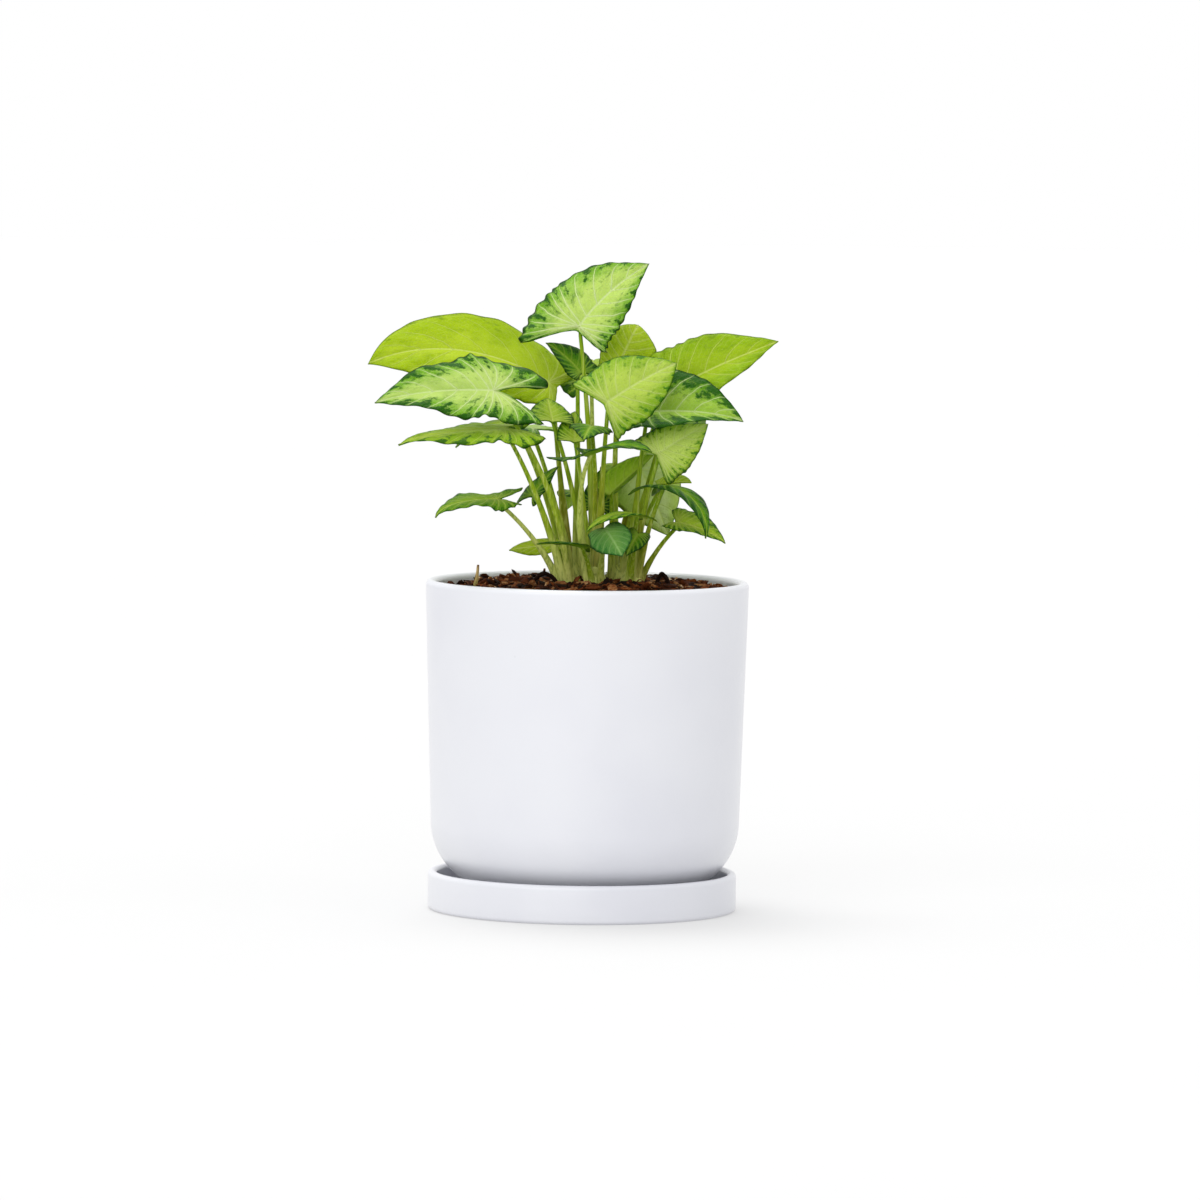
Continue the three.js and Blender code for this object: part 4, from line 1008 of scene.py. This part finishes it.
tones = {
    "variegated": dict(
        ground="76b01c", pale="bedc66", vein="dceca4", dark="1a5204", under="8ab040", through="9ad02c",
        palest=0.3, greenest=0.8, darkFrom=0.7, darkTo=0.96, darkness=0.97,
        glow=1.8, veins=0.85, specks=0.85,
    ),
    "lime": dict(
        ground="a8c40c", pale="bed42a", vein="dce878", dark="688a04", under="9dbc1c", through="b4d414",
        palest=0.1, greenest=0.8, darkFrom=0.98, darkTo=1.22, darkness=0.75,
        glow=1.3, veins=0.62, specks=0.25,
    ),
    "pale": dict(
        ground="8cb41e", pale="bad252", vein="d2e284", dark="2c6c06", under="a4c03c", through="a4d028",
        palest=0.3, greenest=0.9, darkFrom=0.9, darkTo=1.12, darkness=0.92,
        glow=1.5, veins=0.65, specks=0.6,
    ),
    "mid": dict(
        ground="7caa0c", pale="aecb34", vein="c8da60", dark="205604", under="8aac20", through="98c414",
        palest=0.15, greenest=0.75, darkFrom=0.7, darkTo=0.98, darkness=0.94,
        glow=1.5, veins=0.65, specks=0.6,
    ),
    "dark": dict(
        ground="408008", pale="7ca81a", vein="a2c044", dark="144204", under="6c921c", through="70a810",
        palest=0.0, greenest=0.5, darkFrom=0.5, darkTo=0.85, darkness=0.95,
        glow=1.3, veins=0.55, specks=0.6,
    ),
    "teal": dict(
        ground="568e3e", pale="78aa4c", vein="96c06e", dark="286222", under="749f50", through="76b044",
        palest=0.1, greenest=0.7, darkFrom=0.8, darkTo=1.1, darkness=0.75,
        glow=1.3, veins=0.5, specks=0.3,
    ),
}


# Lines on a leaf, each as the distances in millimetres where it begins and is full; the sizes of its noises;
# how deep its relief is in metres; and the share of light that passes it, less in the dark
markings = {
    "vein": (0.42, 0.12), "fineVein": (0.2, 0.04), "midrib": (0.9, 0.35), "margin": (0.8, 0.15),
    "broad": 75.0, "warp": 120.0, "small": 330.0, "cells": 560.0,
    "relief": 0.0005, "passed": 0.3, "held": 0.22, "fixed": {"Specular IOR Level": 0.07},
}


def leafMaterial(name, look):
    # The veins come from the blade's own grid: each side vein is a line s - c t^2, its width in millimetres.
    # Blotches are drawn out along the veins; the dark of the margin reaches in furthest between two veins.
    material, wires = newMaterial(name)
    place = wires.add("TexCoord", {}, {}, "Object")
    run, turnOver, _ = wires.add("UVMap", {"uv_map": "grid"}).parts()
    space, reach, _ = wires.add("UVMap", {"uv_map": "size"}).parts()
    below = run.maths("GREATER_THAN", run, 1.5)
    s = run - below * 2
    t = abs(turnOver - 0.5) * 2
    warp = place.noise(markings["warp"], 3.0)
    vein = s * bladeShape["sideVeins"] - t * t * bladeShape["veinBow"] + (warp - 0.5) * 0.35
    between = abs(vein.maths("FRACT", vein) - 0.5)
    toVein = between * space * 100
    fine = vein * 4 + (warp - 0.5) * 1.5
    toFine = abs(fine.maths("FRACT", fine) - 0.5) * space * 25
    toMidrib = t * reach * 100
    toMargin = (1 - t) * reach * 100

    broad = place.noise(markings["broad"], 3.0)
    small = place.noise(markings["small"], 4.0, 0.65)
    drawn = wires.add("CombineXYZ", {}, {"X": vein * 1.6, "Y": turnOver * 9, "Z": broad * 1.5})
    blotch = drawn.noise(1.5, 5.0, 0.68)
    voronoi = {"Vector": place, "Scale": markings["cells"]}
    cells = wires.add("TexVoronoi", {"feature": "DISTANCE_TO_EDGE"}, voronoi)
    inner = t + (broad - 0.5) * 0.7 + (blotch - 0.5) * 0.5
    colour = inner.between(look["palest"], look["greenest"]).blend(shade(look["pale"]), shade(look["ground"]))
    colour = (broad.between(0.45, 0.75) * 0.25).blend(colour, shade(look["dark"]))
    glow = toVein.between(look["glow"], 0.2)
    outer = inner + (small - 0.5) * 0.8 + (blotch - 0.5) * 0.6 + (between - 0.25) * 0.8
    dark = outer.between(look["darkFrom"], look["darkTo"])
    colour = (dark * look["darkness"]).blend(colour, shade(look["dark"]))
    specks = blotch.between(0.53, 0.6) * t.between(0.12, 0.5) * (1 - glow * 0.8)
    colour = (specks * look["specks"] * 0.75).blend(colour, shade(look["dark"]))
    flakes = blotch.between(0.44, 0.36) * t.between(0.98, 0.6)
    colour = (flakes * look["specks"] * 0.5).blend(colour, shade(look["pale"]))
    net = (cells.between(0.12, 0.0) * 0.14 + toFine.between(*markings["fineVein"]) * 0.2) * (1 - dark * 0.8)
    line = toVein.between(*markings["vein"]) * (1 - t.between(0.7, 1.0) * 0.7)
    soft = glow * glow * 0.3 * small.between(0.3, 0.6) * (1 - t.between(0.5, 0.95) * 0.85)
    drawnVeins = line.maths("MINIMUM", line + soft, 1.0) * look["veins"]
    colour = drawnVeins.blend(colour, shade(look["vein"]))
    colour = net.blend(colour, shade(look["vein"]))
    colour = (toMidrib.between(*markings["midrib"]) * 0.85).blend(colour, shade(look["vein"]))
    colour = (toMargin.between(*markings["margin"]) * 0.7).blend(colour, shade(look["dark"]))
    colour = (below * 0.55).blend(colour, shade(look["under"]))

    roughness = broad * 0.14 + below * 0.16 + 0.3
    height = (1 - line) * 0.4 + small * 0.35 + (1 - cells.between(0.12, 0.0)) * 0.25 + blotch * 0.5
    through = (shade(look["through"]), markings["passed"] - dark * markings["held"])
    finishMaterial(wires, colour, roughness, height, markings["relief"], through, markings["fixed"])
    return material


for number, (name, shoot) in enumerate(shoots.items()):
    own = [leaf for leaf in leaves.values() if leaf["shoot"] == name]
    points, faces, layers = joinGrids([stemSurface(shoot, number), *map(smoothStalk, own)])
    title = name.replace("shoot", "stalks")
    material = stalkMaterial(title, shoot["warmth"])
    makePiece(title, points, faces, material, [name], layers)
print("stalks grown:", len(shoots), "shoots")

for name, leaf in leaves.items():
    blade = bladeFrame(leaf)
    grid = bladeShape["largeGrid"] if blade["length"] > bladeShape["large"] else bladeShape["smallGrid"]
    halves = [part for side in (1, -1) for part in halfBlade(leaf, blade, side, grid)]
    points, faces, layers = joinGrids(halves)
    look = {**tones[leaf["tone"]], **leaf.get("look", {})}
    title = name.replace("leaf", "blade")
    makePiece(title, points, faces, leafMaterial(title, look), [name], layers)
print("leaves grown:", len(leaves))


# Stage, light and camera. The floor's radius is in metres; the camera stands in the frame's millimetres.

studio = {
    "paper": "a9a9a9", "shaded": "a7a7a7", "glow": 0.385, "world": 1.0, "floor": 14,
    "camera": (7.4, -3960, 423), "target": (7.4, 0, 153.7), "lens": 240.4, "roll": 0.65,
}
# Broad distant lamps: where each shines from, how wide it is in degrees and its strength
lamps = {
    "key": {"from": (-0.2, 0.36, 1.1), "wide": 35, "strength": 1.5},
    "fill": {"from": (-0.32, -1.0, 0.5), "wide": 60, "strength": 1.0},
}

# A sheet of paper that glows a little, so that shadows on it stay pale
paper, wires = newMaterial("paper")
grain = wires.add("TexCoord", {}, {}, "Object").noise(4.0, 2.0)
glow = {"Emission Color": (1, 1, 1, 1), "Emission Strength": studio["glow"], "Specular IOR Level": 0.0}
colour = grain.blend(shade(studio["paper"]), shade(studio["shaded"]))
finishMaterial(wires, colour, grain * 0.05 + 0.85, fixed=glow)
turn = 2 * np.pi * np.arange(96) / 96
reach = studio["floor"]
floorMesh = bpy.data.meshes.new("floor")
floorMesh.from_pydata([(reach * np.cos(a), reach * np.sin(a), -0.0001) for a in turn], [], [list(range(96))])
floorMesh.materials.append(paper)
floor = bpy.data.objects.new("floor", floorMesh)
bpy.context.scene.collection.objects.link(floor)

world = bpy.data.worlds.new("studio")
world.use_nodes = True
world.node_tree.nodes["Background"].inputs["Color"].default_value = (1, 1, 1, 1)
world.node_tree.nodes["Background"].inputs["Strength"].default_value = studio["world"]
bpy.context.scene.world = world
bpy.context.scene.view_settings.view_transform = "Standard"

for name, lamp in lamps.items():
    light = bpy.data.lights.new(name, "SUN")
    light.angle = np.radians(lamp["wide"])
    light.energy = lamp["strength"]
    holder = bpy.data.objects.new(name, light)
    holder.location = lamp["from"]
    holder.rotation_euler = (-Vector(lamp["from"])).to_track_quat("-Z", "Y").to_euler()
    bpy.context.scene.collection.objects.link(holder)

# The camera looks from in front, four degrees down, and is rolled a little
eye, target = (Vector(studio[key]) * metre for key in ("camera", "target"))
ahead = (target - eye).normalized()
right = Vector((1, 0, 0))
up = right.cross(ahead)
roll = np.radians(studio["roll"])
cameraX = right * np.cos(roll) + up * np.sin(roll)
cameraY = up * np.cos(roll) - right * np.sin(roll)
lens = bpy.data.cameras.new("camera")
lens.lens = studio["lens"]
lens.sensor_width = 36
lens.clip_end = 60
camera = bpy.data.objects.new("camera", lens)
camera.matrix_world = Matrix.Translation(eye) @ Matrix((cameraX, cameraY, -ahead)).transposed().to_4x4()
bpy.context.scene.collection.objects.link(camera)
bpy.context.scene.camera = camera
print("stage set")
